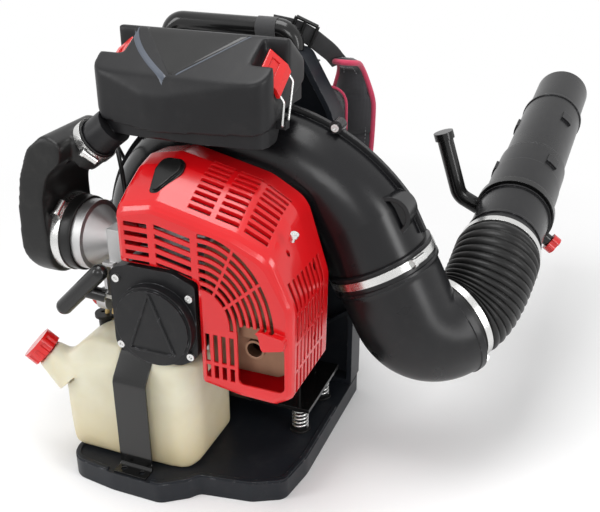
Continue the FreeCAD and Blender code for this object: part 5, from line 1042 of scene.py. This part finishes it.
def pad_widths(length):
    """Half widths along the pad: narrow, wide, narrower again, with a half circle at each end."""
    left = np.minimum(length, length[-1] - length)
    half = pad_top_half_width + (pad_half_width - pad_top_half_width) * eased(length, 30.0, 92.0)
    half -= (pad_half_width - pad_low_half_width) * eased(length / length[-1], 0.5, 1.0)
    return half * np.sqrt(1.0 - (1.0 - np.clip(left / pad_end, 0.012, 1.0)) ** 2)


def pad_section(length, sides):
    """|u/a|^n + |w/b|^n = 1 for each place along the pad, with b dipping at the channels."""
    half = pad_widths(length)
    share = length / length[-1]
    dips = sum(np.exp(-(((share - place) * length[-1] / 3.5) ** 2)) for place in channel_places)
    thick = pad_half_thick * (half / pad_half_width) ** 0.35 * (1.0 - channel_share * dips)
    a = round_angles(sides)
    u, w = (np.sign(wave) * np.abs(wave) ** (2 / pad_power) for wave in (np.cos(a), np.sin(a)))
    return np.stack([half[:, None] * u, thick[:, None] * w], -1)


def pad_edge(path, inset, lift):
    """The closed line round the pad's edge, that far inside its width and above its middle."""
    half = np.maximum(pad_widths(lengths_along(path))[:, None] - inset, 0.6)
    normal = np.cross(directions(path), to_the_right)
    right = path + half * to_the_right + lift * normal
    left = path - half * to_the_right + lift * normal
    return evenly(np.vstack([right, left[::-1], right[:1]]), 2.0)


# %% Piping and stitches
stitch_ends = (-1.5, -1.1, 1.1, 1.5)
stitch_radii = (0.1, 0.45, 0.45, 0.1)
stitch_sides = 6


def ring_piece(name, loop, radius, sides, material, body):
    """A tube round a closed line, its last row joined to its first."""
    loop = loop[:-1]
    along = unit(np.roll(loop, -1, axis=0) - np.roll(loop, 1, axis=0))
    side = unit(np.cross(along, loop - loop.mean(0)))
    rows = circles(loop, side, np.cross(along, side), radius, sides)
    faces = grid_faces(len(loop) + 1, sides) % (len(loop) * sides)
    return piece_from(name, rows, faces, material, body, 80.0)


def stitch_row(name, line, pitch, material, body):
    """Short threads along a line, each a thin six-sided rod with pointed ends."""
    centres = evenly(line, pitch)
    along = directions(centres)
    side = unit(np.cross(along, (0.31, 0.55, 0.77)))
    third = np.cross(along, side)
    at = np.array(stitch_ends)[None, :, None, None]
    thick = np.array(stitch_radii)[None, :, None, None]
    a = round_angles(stitch_sides)[None, :, None]
    ring = np.cos(a) * side[:, None, :] + np.sin(a) * third[:, None, :]
    points = centres[:, None, None, :] + at * along[:, None, None, :] + thick * ring[:, None, :, :]
    rows = len(stitch_ends)
    count = rows * stitch_sides
    one = grid_faces(rows, stitch_sides).tolist()
    one += [list(range(stitch_sides - 1, -1, -1)), list(range(count - stitch_sides, count))]
    faces = [[index + count * k for index in face] for k in range(len(centres)) for face in one]
    return piece_from(name, points * MM, faces, material, body, 80.0)


# %% Shoulder pads
piping_radius = 3.5
stitch_inset = 8.0
stitch_lift = 5.6
stitch_pitch = 5.0
for side_name, x in (("left", -shoulder_x), ("right", shoulder_x)):
    path = pad_line(x)
    pad = swept("shoulder_pad_" + side_name, path * MM, pad_section(lengths_along(path), 40) * MM,
                to_the_right, finish["pad_fabric"], "frame", sharp=70.0)
    move_points(pad.data, swell(pad))
    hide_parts("shoulder_pads")
    ring_piece("shoulder_piping_" + side_name, pad_edge(path, 0.6, 0.0) * MM, piping_radius * MM, 14,
               finish["piping"], "frame")
    for face_name, lift in (("inner", stitch_lift), ("outer", -stitch_lift)):
        stitch_row("stitches_" + side_name + "_" + face_name, pad_edge(path, stitch_inset, lift),
                   stitch_pitch, finish["thread"], "frame")
print("two shoulder pads with piping and stitches")

# %% [markdown]
# ## Webbing
# The straps are flat woven bands 25 mm wide. Two run from the pads down to the base, and two from
# the pads to the frame's top. One more is wrapped round the carry handle's end and goes through a
# ladder lock to the pad on that side.

# %% Webbing
web_width = 25.0
# Places of a strap's line: how far outwards of the pad's middle, then Y and Z.
low_web = [(-pad_lean, 206.5, 176), (-pad_lean, 204, 96), (0, 178, 46), (0, 150.4, 46)]
high_web = [(0, 158.5, 452), (0, 153.0, 452), (0, 151.5, 420)]
straps = {
    "left_low": (-shoulder_x, low_web, [40.0, 12.0], 2.4),
    "right_low": (shoulder_x, low_web, [40.0, 12.0], 2.4),
    "left_high": (-shoulder_x + 22, high_web, [1.5], 2.0),
    "right_high": (shoulder_x - 40, high_web, [1.5], 2.0),
}


def web_section(width, thick):
    """A flat band with rounded edges."""
    a = round_angles(20)
    u = (width - thick) / 2 * np.sign(np.cos(a)) + thick / 2 * np.cos(a)
    return np.stack([u, thick / 2 * np.sin(a)], -1)


for web_name, (x, places, radii, thick) in straps.items():
    path = rounded_line([(x + math.copysign(1.0, x) * out, y, z) for out, y, z in places], radii, 2.0)
    web = swept("web_" + web_name, path * MM, web_section(web_width, thick) * MM, to_the_right,
                finish["webbing"], "frame", sharp=60.0)
    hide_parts("strap_webbing")
print(len(straps), "straps")

# %% Strap on the carry handle
handle_y, handle_z = 130.0, 492.0
wrap_radius = 13.1
wrap_from, wrap_to = 2.0, 27.0
link_width = 23.0
wrap_path = evenly(np.array([(wrap_from, handle_y, handle_z), (wrap_to, handle_y, handle_z)]), 2.0)
tube_piece("handle_wrap", wrap_path * MM, wrap_radius * MM, 40, finish["webbing"], "frame", sharp=60.0)
link_path = rounded_line([(14, 143.2, 494), (50, 150.5, 488), (82, 159, 463), (90, 172, 447)],
                         [20.0, 8.0], 2.0)
link_along = np.gradient(link_path, axis=0)
link_side = unit(np.cross(link_along, (0.0, 1.0, 0.0)))
swept("web_handle_link", link_path * MM, web_section(link_width, 2.0) * MM, link_side, finish["webbing"],
      "frame", 60.0)

# %% Ladder lock on that strap
lock_at = int(0.38 * len(link_path))
lock_along = unit(link_along[lock_at])
lock_out = np.cross(lock_along, link_side[lock_at])
lock_lift = 2.6
bar_radius = 2.3
half_long, half_wide = 14, 15
# Each bar's two ends: along the strap, and across it.
lock_bars = {
    "rail_low": ((-half_long, -half_wide), (half_long, -half_wide)),
    "rail_high": ((-half_long, half_wide), (half_long, half_wide)),
    "rung_near": ((-half_long, -half_wide), (-half_long, half_wide)),
    "rung_middle": ((-2, -half_wide), (-2, half_wide)),
    "rung_far": ((half_long, -half_wide), (half_long, half_wide)),
}
lock_centre = link_path[lock_at] + lock_out * lock_lift
for bar_name, bar_ends in lock_bars.items():
    ends = [lock_centre + lock_along * a + link_side[lock_at] * b for a, b in bar_ends]
    tube_piece("handle_lock_" + bar_name, evenly(np.array(ends), 2.0) * MM, bar_radius * MM, 12,
               finish["buckle_plastic"], "frame", lock_out, 60.0)
print(len(lock_bars), "bars in the ladder lock")

# %% [markdown]
# ## Piping of the back pads
# The back pads have the same red piping, thinner, along the seam between their front and their
# sides. It is a closed tube round a rectangle with round corners, half sunk in the cloth.

# %% Back pad piping
back_piping_radius = 1.8
back_piping_y = 162.0
back_half_width = 103.0
back_corner = 24.0
back_pad_heights = {"upper": (318.0, 420.0), "lower": (60.0, 138.0)}
for pad_name, (z0, z1) in back_pad_heights.items():
    half = back_half_width
    corners = [(0, z1), (half, z1), (half, z0), (-half, z0), (-half, z1), (0, z1)]
    loop = rounded_line([(x, back_piping_y, z) for x, z in corners], [back_corner] * 4, 2.0)
    ring_piece("back_piping_" + pad_name, loop * MM, back_piping_radius * MM, 12, finish["piping"], "frame")
print("piping on", len(back_pad_heights), "back pads")
